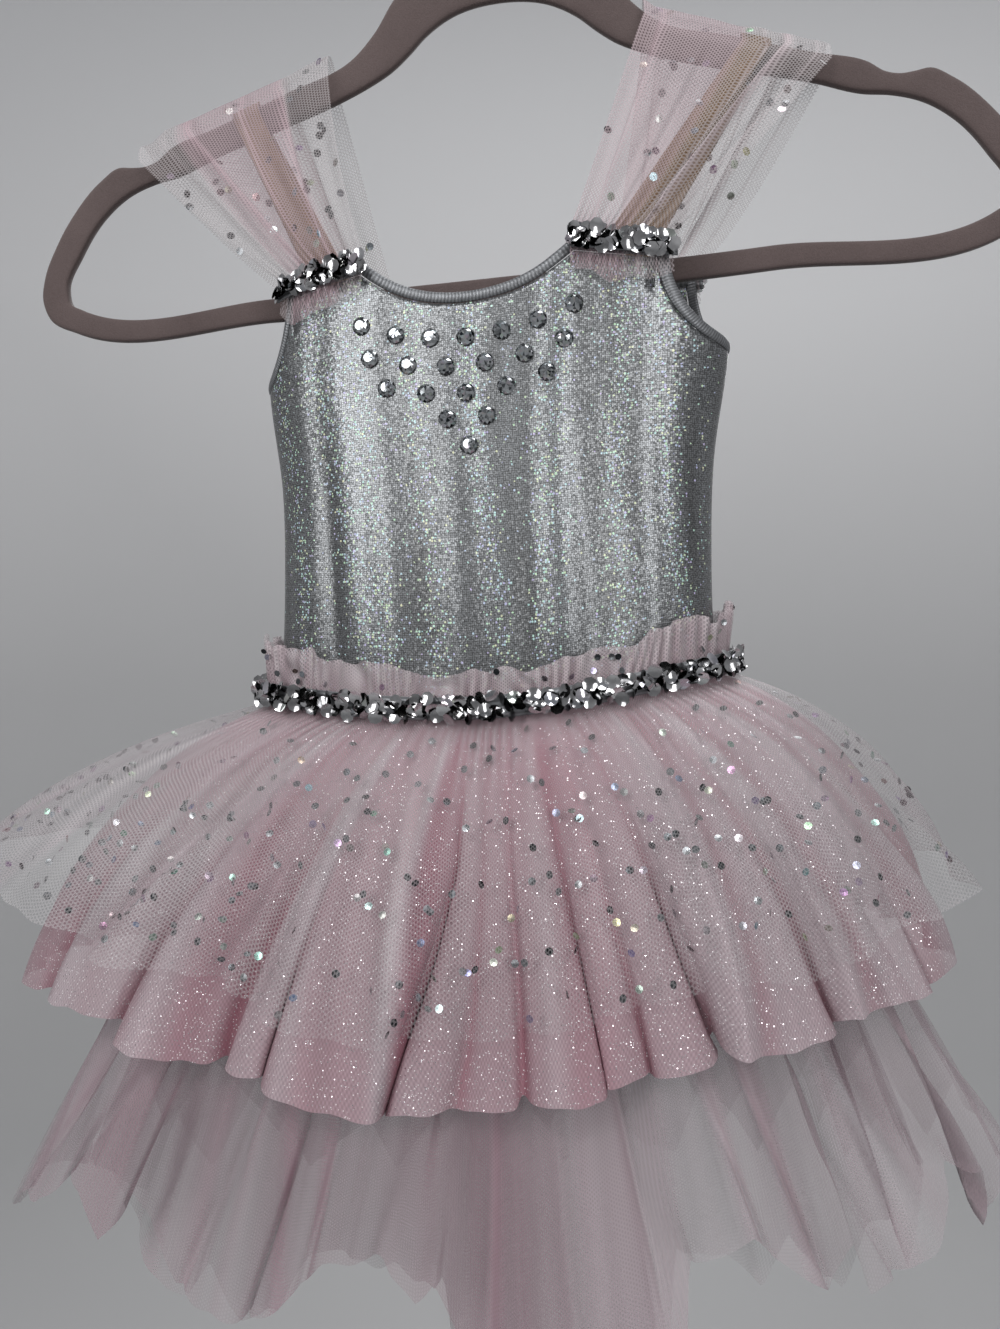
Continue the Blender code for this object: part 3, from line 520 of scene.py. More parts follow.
edge = {
    "neckHalf": {"front": 0.045, "back": 0.053}, "neckHeight": {"front": 0.1660, "back": 0.1600},
    "neckCurve": 2.2, "strapWidth": 0.040, "strapInner": 0.1836, "strapOuter": 0.1776,
    "underarm": 0.1406, "armCurve": 2.2, "bindingWidth": 0.0045, "bindingThickness": 0.0022,
    "seamGap": 0.00045, "seamBand": 0.0055, "neckCount": 20, "baseCount": 9, "armCount": 27,
}
ringSizes = ("halfWidths", "halfDepths")
chest = [bodice[name][4] for name in ringSizes]
chestX, chestY = ring(*chest, linspace(-0.5, 0.5, ringPlaces + 1))
chestLength = np.hypot(np.diff(chestX), np.diff(chestY)).sum()
sideSeam = chestLength / 4


def foldRise(across, height, folds):
    # A sum of bells across the cloth, each drifting sideways on its way up.
    rise = 0
    for place, drift, spread, size in folds:
        rise = rise + size * bump(across, place + drift * height / 0.15, spread)
    fade = (1 - bodice["foldsTopShare"]) * smoothStep(height / bodice["foldsTop"])
    return bodice["foldShare"] * rise * smoothStep(height / bodice["foldsStart"]) * (1 - fade)


def bodicePoint(across, height, out=0.0):
    # Rings whose sizes change with height, pulled to the left at the front's top, plus soft folds.
    across, height, out = np.broadcast_arrays(across, height, out)
    sizes = [curveThrough(bodice["levels"], bodice[name], height) for name in ringSizes]
    fromFront = (across + 2 * sideSeam) % (4 * sideSeam) - 2 * sideSeam
    shares = fromFront / chestLength
    pulled = smoothStep(height / bodice["pullDone"])
    pulled = pulled * smoothStep((0.25 - np.abs(shares)) / bodice["pullFade"])
    places = shares + bodice["pull"] / chestLength * pulled
    x, y = ring(*sizes, places)
    alongX, alongY = ringAlong(*sizes, places)
    fromBack = fromFront - np.sign(fromFront) * 2 * sideSeam
    front, back = (
        foldRise(at, height, bodice[name])
        for at, name in ((fromFront, "frontFolds"), (fromBack, "backFolds"))
    )
    out = out + np.where(np.abs(shares) < 0.25, front, back)
    sag = (dress["waistZ"] - waistLevel(shares)) * (1 - smoothStep(height / bodice["sagDone"]))
    return leaned(x + alongY * out, y - alongX * out, dress["waistZ"] + height - sag)


def halfEdge(end, inset):
    # The top edge on one side, as across and height: a power curve, a line and a quarter
    # superellipse, each point moved in along the mitre of its two steps.
    neckHalf, neckHeight = edge["neckHalf"][end], edge["neckHeight"][end]
    neckAcross = linspace(0, 1, edge["neckCount"])
    neckRise = (edge["strapInner"] - neckHeight) * neckAcross ** edge["neckCurve"]
    neck = stack([neckHalf * neckAcross, neckHeight + neckRise], axis=1)
    start = array([neckHalf, edge["strapInner"]])
    stop = array([neckHalf + edge["strapWidth"], edge["strapOuter"]])
    base = start + (stop - start) * linspace(0, 1, edge["baseCount"] + 1)[1:, None]
    angle = linspace(0, pi / 2, edge["armCount"] + 1)[1:]
    armAcross = 1 - np.abs(cos(angle)) ** (2 / edge["armCurve"])
    armAcross[-1] = 1
    armDrop = sin(angle) ** (2 / edge["armCurve"])
    underarm = array([sideSeam, edge["underarm"]])
    arm = stop + (underarm - stop) * stack([armAcross, armDrop], axis=1)
    line = concatenate([neck, base, arm])
    before = [[-line[1, 0], line[1, 1]]]
    beyond = [[2 * sideSeam - line[-2, 0], line[-2, 1]]]
    steps = unit(np.diff(concatenate([before, line, beyond]), axis=0))
    normals = stack([-steps[:, 1], steps[:, 0]], axis=1)
    mitre = normals[:-1] + normals[1:]
    return line - inset * mitre / (mitre * normals[1:]).sum(axis=1)[:, None]


def mirrored(half):
    # The same line on the other side, then itself.
    return concatenate([half[:0:-1] * (-1, 1), half])


for end, middle, facing in (("front", 0.0, 1), ("back", 2 * sideSeam, -1)):
    top = mirrored(halfEdge(end, edge["bindingWidth"] + edge["seamGap"]))
    seam = sideSeam - edge["seamGap"] / 2
    levels = linspace(0, 1, 96)[:, None]
    footAcross = linspace(-seam, seam, len(top))
    share = smoothStep(levels) * 0.35 + levels * 0.65
    across = footAcross + (clip(top[:, 0], -seam, seam) - footAcross) * share
    height = (top[:, 1] + edge["seamBand"]) * levels - edge["seamBand"]
    folds = foldRise(across, height, bodice[f"{end}Folds"]) / 0.0024
    patchy = unevenness(across * 260, height * 22, 91)
    # Painted glints: bands where more flecks are painted bright and tinted, over random patches.
    shimmer = 0.10 + 0.12 * patchy
    for chest, waistPlace, spread, amount in bodice["shimmer"]:
        place = waistPlace + (chest - waistPlace) * clip(height / 0.15, 0, 1)
        shimmer = shimmer + amount * bump(across * facing, place, spread)
    # The second number is painted sheen: lighter on raised folds, with random patchiness.
    facts = {"band": clip(shimmer, 0, 1), "foldSheen": clip(0.42 + 0.55 * folds + 0.22 * patchy, 0, 1)}
    piece = gridPiece(f"bodice{end.title()}", bodicePoint(across + middle, height),
                      stack([across, height], axis=-1), facts, closed=False)
    finishPiece(
        thicken(piece, bodice["wall"]), "foilJersey", "foil_jersey", [f"bodice_{end}"],
        flat=(2 * sideSeam, bodice["cutLength"]), area=2 * sideSeam * bodice["cutArea"],
        held="hung", rests_on=["strapNetLeft", "strapNetRight"],
    )
print("bodice made")


def fineEdge(end, inset):
    # The edge line with twice as many points, each new one midway.
    half = halfEdge(end, inset)
    fine = np.empty((len(half) * 2 - 1, 2))
    fine[::2] = half
    fine[1::2] = (half[1:] + half[:-1]) / 2
    return fine


def bindingBand(ends, side):
    # A flattened tube round the cloth's edge: its inset goes with the cosine, its depth with the
    # sine. Side 0 is the neck's.
    neckFine = 2 * (edge["neckCount"] - 1)
    rows = []
    for angle in linspace(0, fullTurn, 13)[:-1]:
        inset = edge["bindingWidth"] / 2 * (1 - cos(angle))
        halves = [fineEdge(end, inset) for end in ends]
        if side:
            behind = halves[1][neckFine:][-2::-1] * (-1, 1) + (2 * sideSeam, 0)
            line = concatenate([halves[0][neckFine:], behind]) * (side, 1)
        else:
            middle = 0 if ends[0] == "front" else 2 * sideSeam
            line = mirrored(halves[0][:neckFine + 1]) + (middle, 0)
        rows.append(bodicePoint(line[:, 0], line[:, 1], edge["bindingThickness"] / 2 * sin(angle)))
    return stack(rows, axis=1)


bindings = (
    # Piece, solid, ends of the bodice, side, length of its stitches, length and area of its cut.
    ("neckBindingFront", "neck_binding_front", ["front"], 0, 0.12, 0.12, 0.00056),
    ("neckBindingBack", "neck_binding_back", ["back"], 0, 0.12, 0.12, 0.00056),
    ("armholeBindingLeft", "armhole_binding_left", ["front", "back"], -1, 0.25, 0.22, 0.00100),
    ("armholeBindingRight", "armhole_binding_right", ["front", "back"], 1, 0.25, 0.22, 0.00100),
)
for name, solid, ends, side, stitched, cut, area in bindings:
    piece = gridPiece(name, bindingBand(ends, side), (0.009, stitched), turned=side >= 0)
    finishPiece(piece, "stitchedBinding", "binding", [solid], flat=(cut, 0.0100), area=area,
                held="stretched", rests_on=[f"bodice{end.title()}" for end in ends])
print("bindings made")

# Thickness of the bodice, of one skirt layer with its air, of elastic and of bands, and the gap.
wall = {"bodice": 0.0012, "step": 0.0015, "elastic": 0.0009, "band": 0.0006, "gap": 0.0003}
# Half widths and depth at the hem, drops at the sides, front and back, and the folds' height. The
# tables are in thousandths, and a share is of the way round from the front's middle. A crease is
# its share at the hem, depth, where it starts, lean (over nought: the cloth on its left lies over
# it) and width. A hem point is its share and how much longer the cloth is there. A streak is
# doubled net: share at the waist and at the hem, spread, and how much more it covers. A blush is a
# deeper place: share, spread, height, its reach, amount. A ridge is a raised fold with a painted
# highlight on it and painted shadow beside it: share at the waist and at the hem, spread, rise, how
# much paler it is painted. Behind, backHem draws so many points of up to two lengths. Cover is at
# the waist and at the hem, and cut and area are the flat cloth's.
skirts = {
    "inner": {
        "steps": 1, "left": 0.192, "right": 0.190, "deep": 0.076, "drops": (0.232, 0.258, 0.252),
        "curve": 0.0, "wave": 0.0038, "seed": 11,
        "backCreases": 13, "backHem": (18, 0.016, -0.046),
        "gathers": 90, "gather": 0.0006, "ragged": 0.003, "evenness": 0.5, "creasePaintedShade": -0.5,
        "columns": 620, "rows": 44, "cover": (0.38, 0.15), "gathered": 0.22,
        "cut": (1.10, 0.28), "area": 0.200, "look": "underskirtNet", "slot": "under",
        "creases": (
            (-225, 800, 0, 400, 500), (-176, 1000, 100, -600, 300), (-134, 1000, 0, 700, 400),
            (-102, 800, 200, -300, 600), (-60, 1100, 0, 500, 300), (-22, 900, 100, -800, 500),
            (24, 1000, 0, 400, 300), (52, 800, 200, 800, 500), (92, 1200, 0, 900, 300),
            (128, 900, 100, -500, 400), (164, 1000, 0, 400, 500), (200, 900, 100, -700, 300),
            (232, 800, 0, 300, 500),
        ),
        "hem": (
            (-250, -10), (-225, -26), (-190, -38), (-165, -8), (-150, -4), (-140, -6),
            (-125, -26), (-110, -4), (-90, -14), (-75, -42), (-50, -46), (-35, -50), (-27, -42),
            (-18, -38), (-12, -46), (-6, 0), (30, 20), (85, 15), (90, -38), (110, -36),
            (130, -12), (140, -30), (155, -6), (170, 6), (180, -18), (200, -10), (210, 16),
            (225, -20), (250, 0),
        ),
        "streaks": (
            (-190, -160, 6, 250), (-120, -100, 10, 150), (0, 10, 45, 220), (70, 75, 12, 200),
            (140, 150, 6, 250), (210, 200, 8, 250),
        ),
        "blushes": (), "ridges": (),
    },
    "under": {
        "steps": 2, "left": 0.226, "right": 0.222, "deep": 0.093, "drops": (0.222, 0.242, 0.236),
        "curve": 0.04, "wave": 0.0052, "seed": 12,
        "backCreases": 14, "backHem": (20, 0.018, -0.046),
        "gathers": 105, "gather": 0.0007, "ragged": 0.003, "evenness": 0.5, "creasePaintedShade": -0.5,
        "columns": 720, "rows": 48, "cover": (0.42, 0.17), "gathered": 0.22,
        "cut": (1.25, 0.27), "area": 0.225, "look": "underskirtNet", "slot": "under",
        "creases": (
            (-238, 800, 0, -500, 400), (-204, 1000, 0, 800, 400), (-168, 1100, 100, 600, 250),
            (-140, 900, 0, -700, 400), (-112, 800, 200, 500, 300), (-83, 1100, 0, 900, 250),
            (-62, 700, 200, -500, 400), (-34, 1000, 0, -800, 500), (6, 800, 200, 400, 400),
            (44, 900, 100, -500, 500), (80, 1200, 0, 1100, 250), (106, 800, 100, 600, 300),
            (132, 1000, 0, -800, 400), (158, 900, 100, 700, 250), (186, 1000, 0, 500, 400),
            (214, 900, 100, -700, 300), (240, 800, 0, 400, 500),
        ),
        "hem": (
            (-250, 0), (-232, 8), (-205, -18), (-185, -24), (-165, -42), (-158, -38), (-150, -20),
            (-140, -34), (-131, -46), (-124, -40), (-115, -13), (-98, -10), (-85, -10),
            (-70, -18), (-52, -40), (-40, -44), (-30, -42), (-18, -30), (-12, -38), (-4, -18),
            (2, 10), (40, 22), (74, 18), (80, -30), (100, -36), (115, -20), (133, -4), (140, -24),
            (146, -2), (165, -2), (175, -8), (185, -30), (200, -22), (210, 6), (225, -20),
            (250, 0),
        ),
        "streaks": (
            (-215, -187, 10, 300), (-165, -152, 10, 250), (-125, -112, 5, 200),
            (-110, -70, 3.5, 350), (-78, -56, 3.5, 250), (0, 12, 40, 240), (58, 64, 16, 250),
            (95, 101, 4, 250), (118, 124, 5, 300), (150, 163, 4, 280), (195, 207, 6, 280),
            (-235, -228, 6, 200),
        ),
        "blushes": ((-20, 55, 800, 350, 1600), (-130, 70, 750, 400, 900)),
        "ridges": ((140, 172, 3.5, 500, 600), (200, 226, 3.5, 500, 500), (-100, -92, 4, 400, 400)),
    },
    "glitter": {
        "steps": 3, "left": 0.217, "right": 0.192, "deep": 0.093, "drops": (0.120, 0.142, 0.138),
        "curve": 0.55, "wave": 0.0078, "seed": 13,
        "backCreases": 14, "backHem": (22, 0.004, -0.008),
        "gathers": 118, "gather": 0.0010, "ragged": 0.002, "evenness": 0.1, "creasePaintedShade": 0.55,
        "columns": 980, "rows": 50, "cover": (0.74, 0.74), "gathered": 0.14,
        "cut": (1.20, 0.16), "area": 0.150, "look": "glitterNet", "slot": "glitter",
        "creases": (
            (-238, 900, 0, -600, 400), (-196, 500, 100, 500, 300), (-144, 1100, 0, -900, 200),
            (-92, 900, 100, 600, 180), (-78, 900, 100, -700, 250), (-30, 1300, 0, 1200, 250),
            (-6, 250, 200, 500, 400), (20, 600, 200, -600, 300), (54, 900, 100, 600, 150),
            (73, 500, 200, -500, 300), (99, 1300, 0, -1200, 250), (159, 1100, 0, 900, 150),
            (212, 1000, 0, 800, 200), (240, 900, 0, 400, 400),
        ),
        "hem": (
            (-300, 0), (-190, -6), (-148, -10), (-141, -6), (-94, -8), (-78, -6), (-40, 1),
            (-30, 3), (-20, 0), (18, -2), (22, -7), (52, -3), (56, -6), (72, -6), (76, -2),
            (94, -3), (101, -11), (113, -4), (130, 0), (157, 4), (163, 1), (205, 8), (240, 2),
            (300, 0),
        ),
        "streaks": (),
        "blushes": (
            (-16, 20, 550, 350, 450), (45, 30, 250, 200, 250), (-140, 20, 300, 200, 250),
            (-100, 15, 550, 250, 250), (175, 60, 600, 500, -350),
        ),
        "ridges": (
            (98, 112, 4.5, 800, 750), (128, 165, 4.5, 800, 750), (160, 207, 5, 700, 700),
            (185, 232, 6, 400, 450), (-22, -36, 4, 400, 600), (-60, -68, 6, 400, 350),
            (-105, -128, 8, 400, 450), (-150, -180, 8, 400, 300), (30, 36, 5, 300, 300),
        ),
    },
}
skirtTop = -0.0045
overlay = {
    "steps": 4, "share": 0.90, "rise": 0.0015, "lift": (0.046, 0.016, 0.009, 0.012),
    "slope": radians(52), "liftCurve": 1.4, "clearDone": 0.3, "columns": 900, "rows": 46,
    "cover": (0.08, 0.06), "gathered": 0.10, "cut": (1.25, 0.15), "area": 0.130,
    # How much more it covers at the sides and on the left, from so far down.
    "sideCover": 0.15, "leftCover": 0.17, "veilDone": 0.3,
    # Its fade toward the hem in front: from where, how far, how much, and what stays on the left.
    "fadeFrom": 0.72, "fadeReach": 0.28, "fade": 0.75, "leftKept": 0.3,
    "hemFrom": 0.985, "hemReach": 0.012, "hemCover": 0.10,
}
# What a layer's forms add to how much it covers and to the depth of its colour. The panel and
# gather parts are painted light and shade on the folds.
shading = {
    "depth": 0.42, "panel": 0.25, "doubled": 0.5, "gather": 0.30, "close": 0.1,
    "creaseCover": 0.06, "toneCover": 0.25, "patches": 0.16,
}


def seamRing(steps):
    # Half width and depth of a layer's seam, one cloth step further out for each layer.
    out = wall["bodice"] / 2 + wall["gap"] + (steps - 0.5) * wall["step"]
    return bodice["halfWidths"][1] + out, bodice["halfDepths"][1] + out + 5 * wall["gap"]


def roundTheBack(byHand, count, stray, draw):
    # Places from the front's last row round the back to its first, each off by a drawn share.
    first, last = byHand[[0, -1], 0]
    steps = (arange(1, count + 1) + draw.uniform(-stray, stray, count)) / (count + 1)
    return (last + (first + 1 - last) * steps + 0.5) % 1 - 0.5


def inOrder(byHand, *columns):
    # The listed rows and the drawn ones, by their places.
    rows = concatenate([byHand, stack(columns, axis=1)])
    return rows[np.argsort(rows[:, 0])].T


# The least and the most of a drawn crease's depth, start, lean and width.
drawnCreases = ((0.3, 1.1), (0.0, 0.3), (-1.0, 1.0), (0.2, 0.6))
for layer in skirts.values():
    for name in ("creases", "hem", "streaks", "blushes", "ridges"):
        layer[name] = array(layer[name]) / 1000
    # The front's creases and points are listed, and those behind are drawn unevenly.
    count = layer["backCreases"]
    draw = np.random.default_rng(layer["seed"])
    places = roundTheBack(layer["creases"], count, 0.3, draw)
    drawn = [draw.uniform(*limits, count) for limits in drawnCreases]
    layer["table"] = inOrder(layer["creases"], places, *drawn)
    draw = np.random.default_rng(layer["seed"] + 3)
    layer["tones"] = draw.uniform(-0.22, 0.22, len(layer["table"][0]))
    count, longest, shortest = layer["backHem"]
    draw = np.random.default_rng(layer["seed"] + 5)
    places = roundTheBack(layer["hem"], count, 0.35, draw)
    sizes = draw.uniform(0.3, 1.0, count) * np.where(arange(count) % 2, longest, shortest)
    layer["hemTable"] = inOrder(layer["hem"], places, sizes)


def wrapped(places, values, shares):
    # Straight lines between the values, carried round past both ends.
    across = concatenate([places[-2:] - 1, places, places[:2] + 1])
    around = concatenate([values[-2:], values, values[:2]])
    return np.interp((shares + 0.5) % 1 - 0.5, across, around)


def foldShape(layer, shares, along):
    # Nearly flat panels between narrow creases. The cloth sinks by a bell at each crease and steps
    # back sideways there, so that the panel on its higher side lies over it.
    places, sizes, starts, leans, widths = layer["table"]
    own = (shares + 0.5) % 1 - 0.5
    shares = own + 0.07 * sin(fullTurn * own) * (1 - along)
    shares = shares - 0.046 * np.minimum(1 - along, 0.5) * bump(shares, -0.015, 0.025)
    number, many = arange(len(places)), len(places)
    across = concatenate([places[-2:] - 1, places, places[:2] + 1])
    count = concatenate([number[-2:] - many, number, number[:2] + many])
    passed = np.interp((shares + 0.5) % 1 - 0.5, across, count)
    wander = unevenness(fullTurn * shares * 3, along * 3, layer["seed"] + 50)
    passed = passed + 0.07 * wander * along
    part = passed % 1
    tone = layer["tones"][np.floor(passed).astype(int) % many]
    start = wrapped(places, starts, shares) * 0.5
    size = wrapped(places, sizes, shares) * smoothStep((along - start) / (1 - start) * 0.85 + 0.1)
    crease = np.exp(-(1 - cos(fullTurn * part)) / wrapped(places, widths, shares))
    slope = (2 * part - 1) * (1 - crease)
    lean = wrapped(places, leans, shares)
    profile = 0.52 - crease - 0.17 * cos(fullTurn * part)
    out = size * (profile + 0.38 * lean * slope)
    for top, hem, spread, rise, _ in layer["ridges"]:
        out = out + rise * bump(own, top + (hem - top) * along, spread) * smoothStep(along / 0.15)
    return out, size * (0.25 + 0.55 * np.abs(lean)) * slope * along, profile, crease * size, tone


def gathers(layer, shares, along):
    # Fine pleats at the seam: quick sines whose pace wanders, gone by a third of the way down.
    turn = fullTurn * shares
    phase = layer["gathers"] * turn + 8 * unevenness(turn * 6, along * 2.5, layer["seed"] + 70)
    height = smoothStep(along / 0.05) * (1 - smoothStep((along - 0.04) / 0.34))
    return height * (0.7 + 0.5 * unevenness(turn * 9, along * 2, layer["seed"] + 71)) * sin(phase)


def skirtPoint(layer, shares, along, extraStep=0):
    # From the seam ring to a wider hem ring, dropping by side, with folds standing out of it.
    shares, along = np.broadcast_arrays(shares, along)
    turn = fullTurn * shares
    halfHem = (layer["left"] + layer["right"]) / 2
    bend = layer["curve"] * along * (1 - along)
    topX, topY = ring(*seamRing(layer["steps"] + extraStep), shares)
    hemX, hemY = ring(halfHem, layer["deep"], shares, dress["hemSquareness"])
    hemX = hemX * np.where(hemX > 0, layer["right"], layer["left"]) / halfHem
    alongX, alongY = ringAlong(halfHem, layer["deep"], shares, dress["hemSquareness"])
    out, sideways = foldShape(layer, shares, along)[:2]
    out = out * layer["wave"] * along + gathers(layer, shares, along) * layer["gather"]
    out = out + layer["wave"] * 0.22 * unevenness(turn * 9, along * 5, layer["seed"] + 95) * along
    sideways = sideways * layer["wave"] * 1.1
    ragged = unevenness(turn * 6, 0, layer["seed"] + 90) + 0.4 * unevenness(turn * 43, 0, 92)
    drop = bySide(shares, layer["drops"][0], *layer["drops"])
    drop = drop + layer["ragged"] * ragged + wrapped(*layer["hemTable"], shares)
    x = topX + (hemX - topX) * (along + bend) + alongY * out + alongX * sideways
    y = topY + (hemY - topY) * (along + bend) - alongX * out + alongY * sideways
    return leaned(x, y, waistLevel(shares) + skirtTop - drop * (along - bend))


def overlayPoint(shares, along):
    # The glitter skirt's own form, lifted off it more and more to the hem, with its own waves.
    layer = skirts["glitter"]
    shares, along = np.broadcast_arrays(shares, along)
    turn = fullTurn * shares
    points = skirtPoint(layer, shares, along, 1)
    halfHem = (layer["left"] + layer["right"]) / 2
    alongX, alongY = ringAlong(halfHem, layer["deep"], shares, dress["hemSquareness"])
    lift = bySide(shares, *overlay["lift"]) * (along / overlay["share"]) ** overlay["liftCurve"]
    clear = 1.5 * wall["step"] * smoothStep(along / overlay["clearDone"])
    away = clear + lift * cos(overlay["slope"])
    wavy = unevenness(turn * 7, along * 2.5, 201) + 0.6 * sin(turn * 31 + 1.3)
    away = away + np.minimum(lift, 0.010) * 0.28 * wavy
    points[..., 0] += alongY * away
    points[..., 1] -= alongX * away
    points[..., 2] += overlay["rise"] + lift * sin(overlay["slope"])
    points[..., 2] += 0.004 * unevenness(turn * 5, 0, 205) * smoothStep(along)
    return points


def layerRows(pointAt, columns, levels):
    # The rows of a layer, with a first one raised into the waist's seam, and their parameters.
    shares = linspace(-0.5, 0.5, columns + 1)[None, :-1]
    points = pointAt(shares, levels[:, None])
    points = concatenate([points[:1] + (0, 0, edge["seamBand"]), points])
    return points, shares, concatenate([[0], levels])[:, None]


def layerFacts(layer, points, shares, along, cover, gathered, height):
    # Creases, gathers and doubled net cover more. Doubled net is deeper in colour. Creases get
    # painted shade (painted paler in the under layers), gather hollows painted shade, and panel
    # fronts and ridges painted highlights.
    _, _, profile, crease, tone = foldShape(layer, shares, along)
    turn, seed = fullTurn * shares, layer["seed"]
    close = 1 - smoothStep(along / height)
    twofold = shading["patches"] * unevenness(turn * 40, along * 1.2, seed + 97)
    twofold = twofold * unevenness(turn * 23, along, seed + 98) * smoothStep(along / 0.3)
    for top, hem, spread, amount in layer["streaks"]:
        streak = amount * bump(shares, top + (hem - top) * along, spread)
        twofold = twofold + streak * smoothStep((along - 0.15) / 0.3)
    covers = cover[0] + (cover[1] - cover[0]) * along + gathered * close + twofold
    covers = covers + shading["creaseCover"] * crease
    # Painted shade in the creases (a negative amount paints them paler), and painted light on the
    # panel fronts.
    paintedCreaseShade = layer["creasePaintedShade"] * crease - shading["panel"] * profile
    depth = shading["depth"] + paintedCreaseShade * along**0.5 + shading["doubled"] * twofold
    # Painted light on the gathers' crests and painted shade in their hollows.
    depth = depth - shading["gather"] * gathers(layer, shares, along)
    depth = depth + tone * smoothStep(along / 0.4) + shading["close"] * close
    # Painted highlight on each ridge, and painted shadow on one side of it.
    for top, hem, spread, _, amount in layer["ridges"]:
        place = top + (hem - top) * along
        side = 0.7 * bump(shares, place + 2 * spread, spread) - bump(shares, place, spread)
        depth = depth + amount * side * smoothStep(along / 0.15)
    for middle, spread, level, reach, amount in layer["blushes"]:
        depth = depth + amount * bump(shares, middle, spread) * bump(along, level, reach)
    depth = layer["evenness"] * 0.5 + (1 - layer["evenness"]) * depth
    toned = covers + shading["toneCover"] * cover[0] * tone
    return slantedCover(points, toned), clip(depth, 0, 1)


for name, layer in skirts.items():
    points, shares, along = layerRows(
        lambda s, a: skirtPoint(layer, s, a), layer["columns"], linspace(0, 1, layer["rows"]))
    covers, depth = layerFacts(
        layer, points, shares, along, layer["cover"], layer["gathered"], 0.45)
    facts = {"cover": covers, "depth": depth}
    if name == "glitter":
        # Painted glints: the share of pale specks grows down the skirt and toward the hem, over
        # random patches.
        patchy = unevenness(fullTurn * shares * 9, along * 6, 77)
        hemward = smoothStep((along - 0.8) / 0.2)
        facts["glint"] = clip(0.30 + 0.14 * along + 0.16 * patchy + 0.14 * hemward, 0.08, 0.7)
    piece = gridPiece(f"{name}Skirt", points, (1.35, layer["drops"][1]), facts, turned=True)
    finishPiece(piece, layer["look"], layer["slot"], [f"skirt_{name}_front", f"skirt_{name}_back"],
                flat=layer["cut"], area=layer["area"], held="gathered")
    print(f"{piece.name}: {clothArea(piece):.3f} square metres")

points, shares, along = layerRows(
    overlayPoint, overlay["columns"], linspace(0, overlay["share"], overlay["rows"]))
covers, depth = layerFacts(skirts["glitter"], points, shares, along, overlay["cover"],
                           overlay["gathered"], 0.35)
# The net veils more at the sides and on the left, and fades toward its hem in front.
down = along / overlay["share"]
beside = sin(fullTurn * shares) ** 2
leftward = np.maximum(-sin(fullTurn * shares), 0) ** 0.7
veil = overlay["sideCover"] * beside**2 + overlay["leftCover"] * leftward
covers = covers + veil * smoothStep(along / overlay["veilDone"])
kept = np.maximum(beside**3, overlay["leftKept"] * leftward)
faded = overlay["fade"] * smoothStep((down - overlay["fadeFrom"]) / overlay["fadeReach"])
covers = covers * (1 - faded * (1 - kept))
hemLine = smoothStep((down - overlay["hemFrom"]) / overlay["hemReach"])
covers = covers + overlay["hemCover"] * hemLine * beside**2
facts = {"cover": np.minimum(covers, 0.95), "depth": clip(depth - 0.2, 0, 1)}
piece = gridPiece("overskirt", points, (1.45, 0.150), facts, turned=True)
finishPiece(piece, "overskirtNet", "overlay", ["skirt_overlay_front", "skirt_overlay_back"],
            flat=overlay["cut"], area=overlay["area"], held="gathered")
print(f"{piece.name}: {clothArea(piece):.3f} square metres")
print("skirt layers made")

waist = {
    "trimBottom": -0.0024, "trimHeight": 0.0095, "trimOut": 0.0012,
    "headerBottom": 0.0030, "headerHeights": (0.0220, 0.0135, 0.0175),
    "headerFlares": (0.0008, 0.0020, 0.0020), "headerWaves": 84, "headerWave": 0.0015,
    "headerFold": 0.0009, "headerCut": (0.75, 0.036), "bandCut": (0.52, 0.0100),
}


def waistRing(clearance, shares, height, out=0.0):
    # The overskirt's seam ring grown by a clearance, so high above the waist line.
    sizes = [size + clearance for size in seamRing(overlay["steps"])]
    x, y = ring(*sizes, shares)
    alongX, alongY = ringAlong(*sizes, shares)
    return leaned(x + alongY * out, y - alongX * out, waistLevel(shares) + height)


def headerPhase(shares, along):
    # The pleats' turn, whose pace wanders.
    turn = fullTurn * shares
    return waist["headerWaves"] * turn + 7 * unevenness(turn * 7, along, 301)


def headerPoint(shares, along, inner=0.0):
    # Pleats stand out more toward the top, whose edge is uneven. The inner side is folded back.
    turn = fullTurn * shares
    heights, flares = (
        bySide(shares, waist[name][0], *waist[name]) for name in ("headerHeights", "headerFlares"))
    strength = 0.85 + 0.45 * unevenness(turn * 11, along * 2, 302)
    wave = waist["headerWave"] * strength * sin(headerPhase(shares, along)) * (0.22 + 0.78 * along)
    uneven = 1 + 0.12 * unevenness(turn * 13, 0, 303) + 0.05 * unevenness(turn * 37, 0, 304)
    out = flares * along + wave - inner * waist["headerFold"]
    return waistRing(0.0, shares, waist["headerBottom"] + heights * uneven * along, out)


def bandPoint(shares, along):
    # The flat band under the waist's sequins, along of the way up it.
    height = waist["trimBottom"] + waist["trimHeight"] * along
    return waistRing(wall["step"] + waist["trimOut"], shares, height)


shares = linspace(-0.5, 0.5, 769)[None, :-1]
levels = linspace(0, 1, 9)[:, None]
points = concatenate([
    headerPoint(shares, levels), headerPoint(shares, array([[1.012]]), 0.5),
    headerPoint(shares, levels[::-1], 1.0),
])
pleat = sin(headerPhase(shares, 0))
climb = 1 - np.abs(linspace(-1, 1, len(points)))[:, None]
covers = 0.38 - 0.12 * climb - 0.16 * smoothStep((climb - 0.75) / 0.25) + 0.04 * pleat
